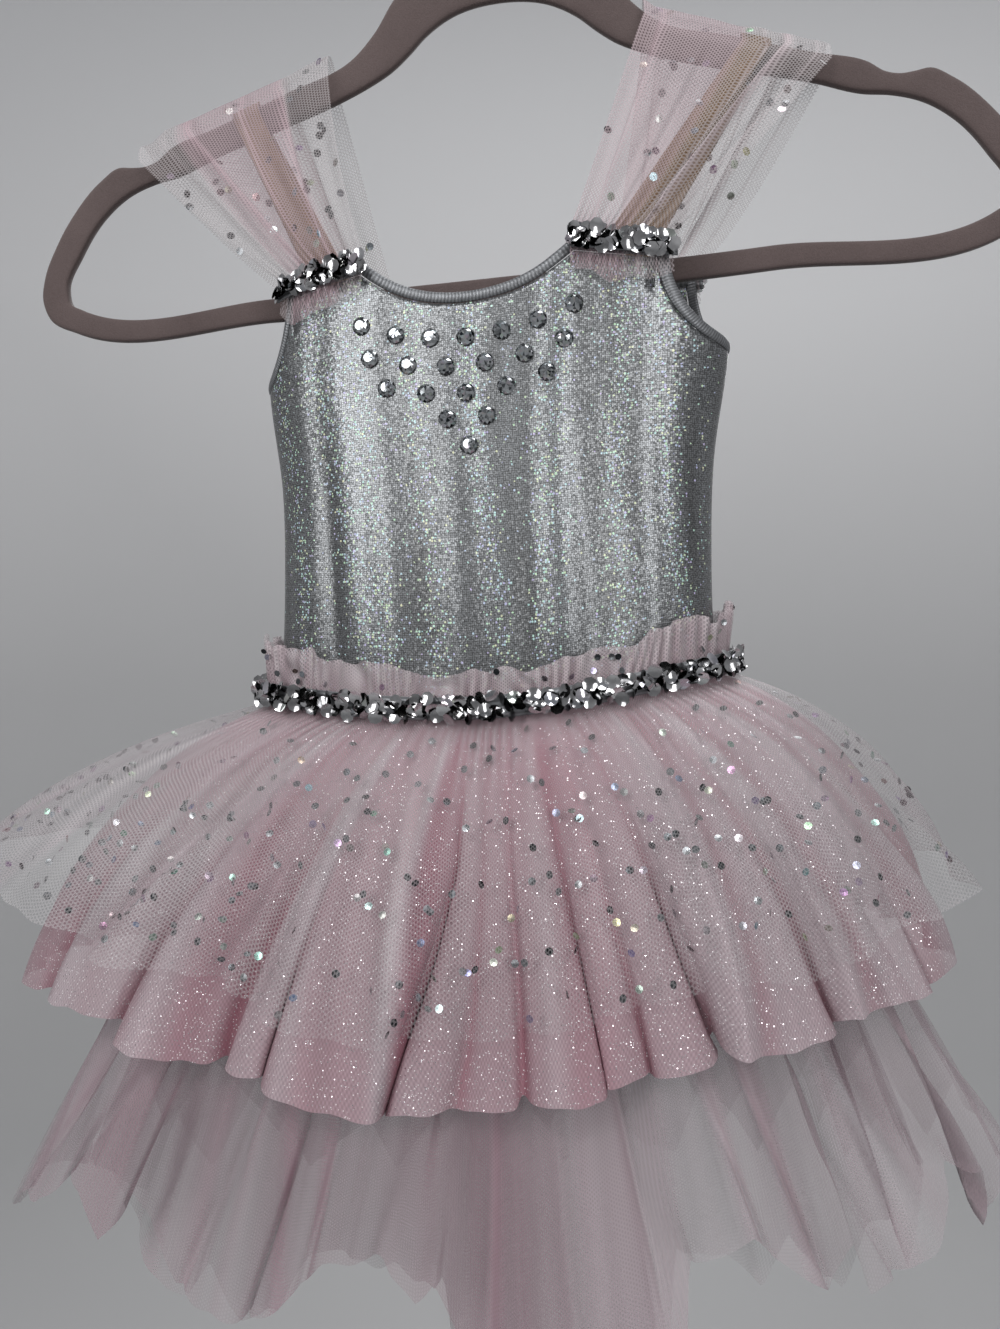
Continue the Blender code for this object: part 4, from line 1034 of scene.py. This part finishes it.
# Paler toward the folded top; the pleat crests are painted paler and their hollows deeper, painted
# light and shade on the pleats.
depth = clip(0.50 - 0.35 * climb - 0.20 * pleat, 0, 1)
facts = {"cover": slantedCover(points, covers, 5), "depth": depth}
header = gridPiece("waistHeader", points, waist["headerCut"], facts, turned=True)
finishPiece(header, "headerNet", "overlay", ["waist_header_frill"],
            flat=waist["headerCut"], held="gathered")
points = bandPoint(linspace(-0.5, 0.5, 241)[None, :-1], linspace(0, 1, 5)[:, None])
band = gridPiece("waistBand", points, (waist["bandCut"][0], waist["trimHeight"]), turned=True)
thicken(band, wall["band"])
finishPiece(band, "stitchedBinding", "sequins", ["waist_sequin_trim"],
            flat=waist["bandCut"], held="stretched")
print(f"header {clothArea(header):.4f}, band {clothArea(band):.4f}")
print("waist made")

# The hanger's right half, in mm across from the hook and down from its seat.
hanger = {
    "outer": (
        (0, 74), (20, 76.2), (36, 82.5), (47, 92.5), (56.5, 105.5), (67, 115.5), (100, 127.2),
        (134, 138.5), (156, 145.3), (163, 150.2), (169, 151.8), (175, 151.5), (181, 150.8),
        (190.5, 156), (205.5, 170.5), (215, 184), (221.5, 197), (223.5, 207.5), (220, 217.5),
        (209.2, 223.5), (113, 228), (0, 229.5),
    ),
    "inner": (
        (0, 98.8), (22, 102.5), (33.4, 109), (42, 116.5), (50, 122.5), (61, 128), (72, 132.3),
        (102, 141.5), (133.4, 150.3), (153, 157.2), (165, 159.2), (179, 164.2), (190.8, 172.8),
        (203, 188.2), (210.8, 203), (209.5, 210.8), (205, 213.4), (111, 218), (0, 219),
    ),
    "armPoints": 14, "thickness": 0.005, "squareness": 5, "tilt": radians(4), "count": 720,
}
for name in ("outer", "inner"):
    hanger[name] = array(hanger[name]) / 1000
straps = {
    # An inner layer lies between two shares of the net. A fold is its share at the top and at the
    # band, width, rise and how much more it covers.
    "Left": {
        "side": -1, "netMiddle": -0.1230, "elasticMiddle": -0.1180, "halfTop": 0.0455,
        "lifts": (0.0050, 0.0080), "seed": 21, "lining": (-0.55, 0.55), "elasticBack": 0.0,
        "folds": ((0.48, 0.20, 0.045, 0.0012, 0.22), (-0.50, -0.30, 0.05, 0.0014, 0.20),
                  (-0.10, 0.00, 0.03, -0.0010, 0.16), (0.75, 0.55, 0.04, 0.0008, 0.10)),
    },
    "Right": {
        "side": 1, "netMiddle": 0.1010, "elasticMiddle": 0.1095, "halfTop": 0.0385,
        "lifts": (0.0038, 0.0038), "seed": 22, "lining": (-1.1, 0.05), "elasticBack": -0.0135,
        "folds": ((0.55, 0.35, 0.055, 0.0026, 0.42), (0.30, 0.15, 0.03, -0.0016, 0.20),
                  (-0.78, -0.60, 0.05, 0.0010, 0.14), (0.86, 0.70, 0.03, 0.0010, 0.14)),
    },
}
strap = {
    "halfBase": 0.0205, "out": 0.0027, "gather": 0.0007, "gathers": 15, "puff": 0.0075,
    "ripple": 0.0016, "foldHalfDepth": 0.0078, "foldFoot": -0.0085, "foldRise": 0.0095,
    "tail": 0.0135, "tailOut": 0.0012, "seamDrop": 0.002, "freeRise": 0.004,
    "elasticWidth": 0.012, "elasticFold": 0.0043, "elasticSink": 0.0025,
    "trimHeight": 0.0085, "trimOut": 0.0050, "trimTop": 0.0035, "trimOver": 0.001,
    # How much the net covers, and how much more where it is gathered, lined or folded over.
    "cover": 0.17, "closeCover": 0.18, "liningCover": 0.18, "topCover": 0.08,
    "netCut": (0.09, 0.25), "elasticCut": (0.012, 0.20), "bandCut": (0.043, 0.0100),
}


def hangerPlace(across, depth, up):
    # Points of the hanger's own plane, swung about the hook's seat by its tilt.
    c, s = cos(hanger["tilt"]), sin(hanger["tilt"])
    return stack(np.broadcast_arrays(across * c - up * s, depth, across * s + up * c), axis=-1)


def armTop(across):
    # The height of the arm's upper edge.
    return -np.interp(np.abs(across), *hanger["outer"][:hanger["armPoints"]].T)


def strapEdgeHeight(fromMiddle):
    # The strap base's sloping line.
    slope = (edge["strapOuter"] - edge["strapInner"]) / edge["strapWidth"]
    return (edge["strapInner"] + edge["strapOuter"]) / 2 + slope * fromMiddle


def strapBasePoint(side, fromMiddle, height, facing, out):
    # Facing is 1 on the front and -1 on the back, where across runs the other way.
    end = "front" if facing > 0 else "back"
    across = edge["neckHalf"][end] + edge["strapWidth"] / 2 + fromMiddle
    return bodicePoint(side * (across if facing > 0 else 2 * sideSeam - across), height, out)


def strapBandPoint(one, facing, shares, along):
    # The flat band under a strap's sequins, along of the way up it.
    fromMiddle = shares * (strap["halfBase"] + strap["trimOver"])
    height = strapEdgeHeight(fromMiddle) + strap["trimTop"] - strap["trimHeight"] * (1 - along)
    return strapBasePoint(one["side"], fromMiddle, height, facing, strap["trimOut"])


def strapNetRows(one, share, facing):
    # From the tail under the band, up and outward to the foot of the fold over the arm.
    side, seed = one["side"], one["seed"]
    turn = pi * strap["gathers"] * (share + 1)
    fine = sin(turn + 2.2 * unevenness(share * 6, 0, seed + facing))
    broad = cos(pi * 6 * (share + 1) + 1.5 * unevenness(share * 4, 0, seed + 5))
    fromMiddle = share * strap["halfBase"]
    height = strapEdgeHeight(fromMiddle)
    gathered = strap["out"] + strap["gather"] * fine
    tailOut = strap["out"] + strap["tailOut"] + 0.0004 * broad
    tail = strap["tail"] * (1.25 - 0.45 * share**2 + 0.16 * unevenness(share * 4, 0, seed + 9))
    rows = [
        strapBasePoint(side, fromMiddle, height - drop, facing, out)
        for drop, out in ((tail, tailOut), (tail * 0.55, 0.35 * gathered + 0.65 * tailOut),
                          (strap["seamDrop"], gathered))
    ]
    base = strapBasePoint(side, fromMiddle, height + strap["freeRise"], facing, strap["out"])
    localAcross = one["netMiddle"] + share * one["halfTop"] * side
    foot = armTop(localAcross) + np.interp(share, (-1, 1), one["lifts"]) + strap["foldFoot"]
    ahead = hangerPlace(localAcross, -facing * strap["foldHalfDepth"], foot)
    for rise in linspace(0, 1, 30):
        row = base + (ahead - base) * (rise**0.85, rise, rise)
        fullness = sin(pi * rise)
        ripple = 0.5 * broad + unevenness(share * 4, rise * 3, seed + 13 + facing)
        ripple = ripple * fullness + 0.35 * fine * (1 - rise) ** 12
        row[:, 1] -= facing * (strap["puff"] * max(fullness, 0) ** 0.7 + strap["ripple"] * ripple)
        for top, low, spread, size, _ in one["folds"]:
            laid = size * bump(share, low + (top - low) * rise**0.8, spread) * min(1, 5 * rise)
            row[:, 1] -= facing * laid
            row[:, 0] -= 1.2 * side * laid
        rows.append(row)
    return rows, fine


def strapNetPoints(one, share):
    # The front's rows, a rounded fold over the arm and the back's rows, with how high each is.
    front, frontFine = strapNetRows(one, share, 1)
    back, backFine = strapNetRows(one, share, -1)
    localAcross = one["netMiddle"] + share * one["halfTop"] * one["side"]
    foot = armTop(localAcross) + np.interp(share, (-1, 1), one["lifts"]) + strap["foldFoot"]
    rise = strap["foldRise"] + 0.0007 * unevenness(share * 9, 0, one["seed"] + 31)
    depth = strap["foldHalfDepth"]
    fold = [
        hangerPlace(localAcross, depth * sin(angle), foot + rise * cos(angle) ** 0.8)
        for angle in radians(linspace(-90, 90, 15)[1:-1])
    ]
    points = array(front + fold + back[::-1])
    climb = concatenate([linspace(0, 1, len(front)), np.ones(len(fold)), linspace(1, 0, len(back))])
    down = linspace(0, 1, len(points))[:, None]
    return points, climb[:, None], frontFine * (1 - down) + backFine * down


for label, one in straps.items():
    node = label.lower()
    share = linspace(-1, 1, 181)
    points, climb, fine = strapNetPoints(one, share)
    first, last = one["lining"]
    lined = smoothStep((share - first) / 0.1) * (1 - smoothStep((share - last) / 0.1))
    close = 1 - smoothStep(climb / 0.16)
    laid = sum(size * bump(share, low + (top - low) * climb**0.8, spread)
               for top, low, spread, _, size in one["folds"])
    number = arange(len(points))
    body = smoothStep(np.minimum(number, number[::-1])[:, None] / 2)
    covers = strap["cover"] + strap["closeCover"] * close + strap["liningCover"] * lined + laid
    covers = covers + strap["topCover"] * smoothStep((climb - 0.93) / 0.05)
    covers = (covers + 0.06 * fine * close * body) * (0.35 + 0.65 * body)
    # Lining and laid folds deepen the colour, as does the seam; near the seam the gather crests are
    # painted paler, painted light on the gathers.
    depth = 0.15 + 0.60 * lined + 0.8 * laid + 0.2 * close - 0.2 * fine * close * body
    facts = {"cover": slantedCover(points, covers, 7), "depth": clip(depth, 0, 1)}
    one["points"] = points
    turned = one["side"] < 0
    net = gridPiece(f"strapNet{label}", points, strap["netCut"], facts, closed=False, turned=turned)
    finishPiece(net, "strapNet", "strap_net", [f"strap_net_{node}"], flat=strap["netCut"],
                held="gathered", rests_on=["hanger_frame"])

    across = linspace(-1, 1, 9) * strap["elasticWidth"] / 2
    localAcross = one["elasticMiddle"] + across * one["side"]
    folded = []
    for angle in radians(linspace(-90, 90, 17)):
        up = armTop(localAcross) + strap["elasticFold"] * cos(angle) - strap["elasticSink"]
        folded.append(hangerPlace(localAcross, strap["elasticFold"] * sin(angle), up))
    ends = [
        strapBasePoint(one["side"], place, strapEdgeHeight(place) + 2 * wall["gap"], facing, 0.0)
        for facing, place in ((1, across), (-1, across + one["elasticBack"]))
    ]
    reach = linspace(0, 1, 25)[:-1]
    rising = [ends[0] + (folded[0] - ends[0]) * part for part in reach]
    falling = [folded[-1] + (ends[1] - folded[-1]) * part for part in 1 - reach[::-1]]
    elastic = gridPiece(f"elastic{label}", array(rising + folded + falling), strap["elasticCut"],
                        closed=False, turned=turned)
    thicken(elastic, wall["elastic"])
    finishPiece(elastic, "tanElastic", "elastic", [f"strap_elastic_{node}"],
                flat=strap["elasticCut"], held="hung", rests_on=["hanger_frame"])
    print(f"strap {label}: net {clothArea(net):.4f}, elastic {clothArea(elastic):.4f}")

    for end, facing in (("front", 1), ("back", -1)):
        points = strapBandPoint(one, facing, linspace(-1, 1, 33), linspace(0, 1, 6)[:, None])
        size = (strap["bandCut"][0], strap["trimHeight"])
        band = gridPiece(f"strapBand{label}{end.title()}", points, size, closed=False,
                         turned=turned == (facing > 0))
        thicken(band, wall["band"])
        finishPiece(band, "stitchedBinding", "sequins", [f"strap_trim_{end}_{node}"],
                    flat=strap["bandCut"], held="stretched")
print("straps made")


def closedOutline(half):
    # A smooth closed line through the half outline and its mirror image, evenly spaced.
    loop = concatenate([half, (half * (-1, 1))[-2:0:-1], half[:1]])
    padded = concatenate([loop[-4:-1], loop, loop[1:4]])
    length = concatenate([[0], np.cumsum(np.hypot(*np.diff(padded, axis=0).T))])
    at = linspace(length[3], length[-4], hanger["count"] + 1)[:-1]
    return stack([curveThrough(length, padded[:, axis], at) for axis in (0, 1)], axis=1)


outer, inner = (closedOutline(hanger[name])[:, None] for name in ("outer", "inner"))
section = linspace(0, fullTurn, 25)[:-1]
power = 2 / hanger["squareness"]
across, depth = (np.sign(wave) * np.abs(wave) ** power for wave in (cos(section), sin(section)))
flatPoints = (outer + inner) / 2 + (outer - inner) / 2 * across[None, :, None]
points = hangerPlace(flatPoints[..., 0], depth * hanger["thickness"] / 2, -flatPoints[..., 1])
piece = gridPiece("hangerFrame", points, (0.03, 1.1), joined=True)
finishPiece(piece, "flockedHanger", "flock", ["hanger_frame"])

# The wire's straight stem in metres across and up, then an arc between two angles.
hook = {
    "wire": 0.00175, "bend": 0.0225, "from": -48, "to": 186, "sides": 16,
    "stemAcross": (0, 0, 0.0004, 0.0022, 0.0062),
    "stemUp": (-0.0734, -0.064, -0.057, -0.051, -0.0455),
}
angle = radians(linspace(hook["from"], hook["to"], 61))
route = stack([
    concatenate([hook["stemAcross"], hook["bend"] * cos(angle)]),
    concatenate([hook["stemUp"], hook["wire"] - hook["bend"] + hook["bend"] * sin(angle)]),
], axis=1)
ahead = unit(np.gradient(route, axis=0))
turn = linspace(0, fullTurn, hook["sides"] + 1)[:-1]
aside = cos(turn) * hook["wire"]
rings = hangerPlace(route[:, :1] - ahead[:, 1:] * aside, sin(turn) * hook["wire"],
                    route[:, 1:] + ahead[:, :1] * aside)
foot, tip = (
    np.repeat(rings[end].mean(axis=0)[None, None], hook["sides"], axis=1) for end in (0, -1))
points = concatenate([foot, rings, tip])
facts = {"tint": np.full(points.shape[:2], 0.5), "paintedShadeAndTint": np.zeros(points.shape[:2])}
piece = gridPiece("hangerHook", points, (0.011, 0.16), facts)
closePoles(piece)
finishPiece(piece, "hookSteel", "steel", ["hanger_hook"])
print("hanger made")


def circle(radius, height, sides=8, start=0.0):
    # Points round a circle at one height.
    turn = arange(sides) / sides * fullTurn + start
    return stack([radius * cos(turn), radius * sin(turn), np.full(sides, height)], axis=1)


def triangles(*corners):
    # One triangle for each place in three rows of point numbers.
    return stack(np.broadcast_arrays(*corners), axis=1)


def spangleShape(radius):
    # A nearly flat disc of eight triangles round its middle.
    number = arange(8)
    points = concatenate([[[0, 0, 0]], circle(radius, 0.0001)])
    return points, triangles(0, number + 1, (number + 1) % 8 + 1)


def sequinShape(radius, depth):
    # A shallow cup in two rings: a flat floor a little over half as wide, and a flared rim.
    number = arange(8) + 1
    after = number % 8 + 1
    points = concatenate([[[0, 0, 0]], circle(0.55 * radius, 0.25 * depth), circle(radius, depth)])
    return points, concatenate([
        triangles(0, number, after), triangles(number, number + 8, after + 8),
        triangles(number, after + 8, after),
    ])


def scatter(name, shape, seats, tilt, look, slot, smooth=False, replaced=()):
    # A small shape is set down at each seat, tipped by a random small lean and spun about its
    # normal: each point is its seat plus its part of three directions. Cut stones have a hue and
    # a painted brightness for each facet, other shapes for each copy; the painted brightness paints
    # a share of them dark, painted shade for dark reflections.
    points, faces = shape
    places, normals, upward = seats
    count = len(places)
    normals = unit(normals + chance.normal(0, tilt, (count, 3)))
    sideways = unit(np.cross(upward, normals))
    spin = chance.uniform(0, fullTurn, count)[:, None]
    first = sideways * cos(spin) + np.cross(normals, sideways) * sin(spin)
    placed = places[:, None] + points @ stack([first, np.cross(normals, first), normals], axis=1)
    placed = placed.reshape(-1, 3)
    faces = (faces + (arange(count) * len(points))[:, None, None]).reshape(-1, 3)
    facts = {"tint": chance.uniform(0, 1, count), "paintedShadeAndTint": chance.uniform(0, 1, count) ** 1.5}
    facts = {label: np.repeat(values, len(points)) for label, values in facts.items()}
    if look == "cutStones":
        placed = placed[faces].reshape(-1, 3)
        faces = arange(len(placed)).reshape(-1, 3)
        facts = {label: np.repeat(chance.uniform(0, 1, len(faces)), 3) for label in facts}
    piece = meshPiece(name, placed, faces, facts=facts, smooth=smooth)
    return finishPiece(piece, look, slot, replaced)


def seatsOn(pointAt, first, second, lift=0.0, step=0.002):
    # Points of a surface, its outward normals and its second direction, by small differences.
    seat = pointAt(first, second)
    up = pointAt(first, second + step) - seat
    normal = unit(np.cross(pointAt(first + step, second) - seat, up))
    return seat + normal * lift, normal, unit(up)


def gridSeats(points, rows, columns, lift):
    # Points of a grid by row and column, moved out along the grid's own normals.
    across, along = np.gradient(points, axis=1), np.gradient(points, axis=0)
    normal = unit(np.cross(across, along))[rows, columns]
    return points[rows, columns] + normal * lift, normal, unit(along[rows, columns])


sequin = {"radius": 0.0031, "cup": 0.0006, "rows": 3, "tilt": 0.62, "onWaist": 120, "onStrap": 13}
cup = sequinShape(sequin["radius"], sequin["cup"])
places, heights = [], []
count = sequin["onWaist"]
for row in range(sequin["rows"]):
    places.append((arange(count) + 0.5 * (row % 2)) / count - 0.5 + chance.normal(0, 0.0008, count))
    heights.append((row + 0.5) / sequin["rows"] + chance.normal(0, 0.06, count))
seats, normals, upward = seatsOn(bandPoint, concatenate(places), concatenate(heights), 0.0011)
seats += normals * chance.uniform(0.0, 0.0020, len(seats))[:, None]
scatter("waistSequins", cup, (seats, normals, upward), sequin["tilt"],
        "cupSequins", "sequins", True)

count = sequin["onStrap"]
for label, one in straps.items():
    found = []
    for facing in (1, -1):
        for row in range(sequin["rows"]):
            across = (arange(count) + 0.5 + 0.4 * (row % 2)) / count * 1.96 - 1
            across += chance.normal(0, 0.02, count)
            along = (row + 0.5) / sequin["rows"] + chance.normal(0, 0.05, count)
            seats, normals, upward = seatsOn(
                lambda s, a: strapBandPoint(one, facing, s, a), across, along)
            normals = normals * facing * one["side"]
            stray = 0.0010 + 0.0008 * chance.uniform(0, 1, count)
            stray += 0.0025 * (chance.uniform(0, 1, count) > 0.9)
            found.append((seats + normals * stray[:, None], normals, upward))
    scatter(f"strapSequins{label}", cup, [concatenate(rows) for rows in zip(*found)],
            sequin["tilt"], "cupSequins", "sequins", True)

# Their radii, how many, how far they tip, and their height off the net. Even steps of the golden
# share never line up.
spangle = {
    "strap": 0.0018, "header": 0.0014, "skirt": 0.0016, "left": 0.0014, "lift": 0.0006,
    "onStrap": 34, "onFold": 18, "onHeader": 46, "onSkirt": 620, "onLeft": 90,
    "strapTilt": 0.22, "headerTilt": 0.3, "skirtTilt": 0.35, "leftTilt": 0.4,
    "goldenShare": 0.6180339887,
}
for label, one in straps.items():
    rows = concatenate([
        chance.integers(6, 46, spangle["onStrap"]), chance.integers(46, 70, spangle["onFold"])])
    columns = chance.integers(4, 177, len(rows))
    seats, normals, upward = gridSeats(one["points"], rows, columns, -spangle["lift"] * one["side"])
    scatter(f"strapSpangles{label}", spangleShape(spangle["strap"]),
            (seats, -normals * one["side"], upward), spangle["strapTilt"],
            "flatSpangles", "strap_net")

count = spangle["onHeader"]
places, rises = chance.uniform(-0.5, 0.5, count), chance.uniform(0.3, 0.95, count)
scatter("headerSpangles", spangleShape(spangle["header"]),
        seatsOn(headerPoint, places, rises, 0.0007), spangle["headerTilt"],
        "flatSpangles", "overlay")

# The net carries more of them on the viewer's left, toward the hem.
count = spangle["onSkirt"]
places = (arange(count) * spangle["goldenShare"]) % 1 - 0.5
levels = 0.04 + 0.84 * chance.uniform(0, 1, count) ** 0.7
scatter("overskirtSpangles", spangleShape(spangle["skirt"]),
        seatsOn(overlayPoint, places, levels, spangle["lift"]), spangle["skirtTilt"],
        "flatSpangles", "overlay")
count = spangle["onLeft"]
places, levels = chance.uniform(-0.24, -0.08, count), chance.uniform(0.45, 0.88, count)
scatter("leftSpangles", spangleShape(spangle["left"]),
        seatsOn(overlayPoint, places, levels, spangle["lift"]), spangle["leftTilt"],
        "flatSpangles", "overlay")

stones = {
    # Count, drop below the neckline, pitch, and rise of the row's ends.
    "rows": ((7, 0.0192, 0.0152, 0.0096), (6, 0.0312, 0.0166, 0.0072), (5, 0.0429, 0.0172, 0.0054),
             (2, 0.0533, 0.0170, 0.0), (1, 0.0645, 0.0, 0.0)),
    "middle": 0.0005, "radius": 0.0039, "height": 0.0021, "table": 0.0020, "girdle": 0.0005,
    "sides": 12, "off": 0.0008,
}
across, heights = [], []
for count, drop, pitch, rise in stones["rows"]:
    off = arange(count) - (count - 1) / 2
    across.append(stones["middle"] + off * pitch)
    heights.append(edge["neckHeight"]["front"] - drop + rise * (2 * off / max(count - 1, 1)) ** 2)
seats = seatsOn(lambda a, h: bodicePoint(a, h, stones["off"]),
                concatenate(across), concatenate(heights))
sides, radius, height = stones["sides"], stones["radius"], stones["height"]
points = concatenate([
    circle(radius * 0.985, 0.0, sides), circle(radius, stones["girdle"], sides),
    circle(radius * 0.78, height * 0.68, sides, pi / sides), circle(stones["table"], height, sides),
    [[0, 0, height * 1.02], [0, 0, 0]],
])
# Point numbers of the base, girdle, crown and table rings, with each one's neighbours.
base, girdle, crown, flat = (arange(sides) + sides * level for level in range(4))
after = (arange(sides) + 1) % sides
baseNext, girdleNext, flatNext = (after + sides * level for level in (0, 1, 3))
crownBefore = (arange(sides) - 1) % sides + 2 * sides
faces = concatenate([
    triangles(base, baseNext, girdleNext), triangles(base, girdleNext, girdle),
    triangles(girdle, girdleNext, crown), triangles(girdle, crown, crownBefore),
    triangles(flat, crown, flatNext), triangles(flat, crownBefore, crown),
    triangles(flat, flatNext, 4 * sides), triangles(baseNext, base, 4 * sides + 1),
])
scatter("chestStones", (points, faces), seats, 0.03, "cutStones", "stone",
        replaced=[f"rhinestone_{number:02d}" for number in range(1, 22)])
print("sequins, spangles and stones made")

room = {"radius": 2.4, "floor": -1.35, "corner": 0.8, "top": 2.2}
turn = linspace(0, fullTurn, 97)[:-1]
bend = linspace(0, pi / 2, 17)
corner = room["radius"] - room["corner"] * (1 - sin(bend))
reach = concatenate([[0.001, 0.8], corner, [room["radius"]] * 6])
height = concatenate([
    [room["floor"]] * 2, room["floor"] + room["corner"] * (1 - cos(bend)),
    linspace(room["floor"] + room["corner"], room["top"], 7)[1:],
])
points = stack(np.broadcast_arrays(
    reach[:, None] * cos(turn), reach[:, None] * sin(turn), height[:, None]), axis=-1).copy()
points[0] = (0, 0, room["floor"])
bowl = gridPiece("studioBowl", points, (1, 1))
closePoles(bowl)
material = startFinish("paleStudio", 0.9)
place = objectPlace()
height = wire("SeparateXYZ", {0: place}).outputs["Z"]
# Painted shade: the bowl is darker toward the floor and paler up the wall, as under lamps overhead.
shade = maths("MULTIPLY_ADD", noise(place, 6), 0.02, mapped(height, -1.3, 0.5))
give("Base Color", mixed(shade, (0.48, 0.48, 0.485), (0.84, 0.84, 0.85)))
bowl.data.materials.append(material)

lamps = {
    # Place, aim, width, height (nought for a square) and watts.
    "keyLight": ((-0.75, -1.20, 0.35), (0, 0, -0.4), 0.60, 1.3, 10.4),
    "sideLight": ((0.75, -1.25, 0.10), (0, 0, -0.4), 0.40, 1.2, 6.8),
    "topLight": ((0.5, -0.3, 1.6), (0, 0, -0.4), 0.8, 0, 11),
    "sparkLight": ((-0.3, -1.6, 0.9), (0, 0, -0.4), 0.06, 0, 3.5),
    "rimLight": ((0.3, 1.5, 0.5), (0, 0, -0.35), 0.9, 0, 10),
    "wallLight": ((0.1, 0.9, 0.9), (0, 2.4, -0.8), 1.2, 0, 7.6),
}
for name, (place, aim, size, tall, power) in lamps.items():
    data = bpy.data.lights.new(name, "AREA")
    data.shape = "RECTANGLE" if tall else "SQUARE"
    data.size = size
    if tall:
        data.size_y = tall
    data.energy = power
    lamp = bpy.data.objects.new(name, data)
    lamp.location = place
    lamp.rotation_euler = (Vector(aim) - Vector(place)).to_track_quat("-Z", "Y").to_euler()
    bpy.context.scene.collection.objects.link(lamp)
    lamp.visible_camera = False

world = bpy.data.worlds.new("studioAir")
world.use_nodes = True
air = world.node_tree.nodes["Background"].inputs
air[0].default_value = (0.9, 0.93, 1.0, 1)
air[1].default_value = 0.22
bpy.context.scene.world = world

# The photograph's own place and lens, in metres, millimetres and degrees.
view = {"place": (0.0550, -0.4537, -0.3724), "lens": 27.09, "sensor": 36, "down": 2.548, "left": 6}
camera = bpy.data.cameras.new("photoCamera")
camera.lens = view["lens"]
camera.sensor_width = view["sensor"]
viewer = bpy.data.objects.new("photoCamera", camera)
viewer.location = view["place"]
viewer.rotation_euler = (radians(90 - view["down"]), 0, radians(view["left"]))
bpy.context.scene.collection.objects.link(viewer)
bpy.context.scene.camera = viewer
bpy.context.scene.view_settings.view_transform = "Standard"
bounces = {"transparent_max": 20, "max": 2, "diffuse": 1, "glossy": 1, "transmission": 0}
for kind, count in bounces.items():
    setattr(bpy.context.scene.cycles, f"{kind}_bounces", count)
print("stage made")
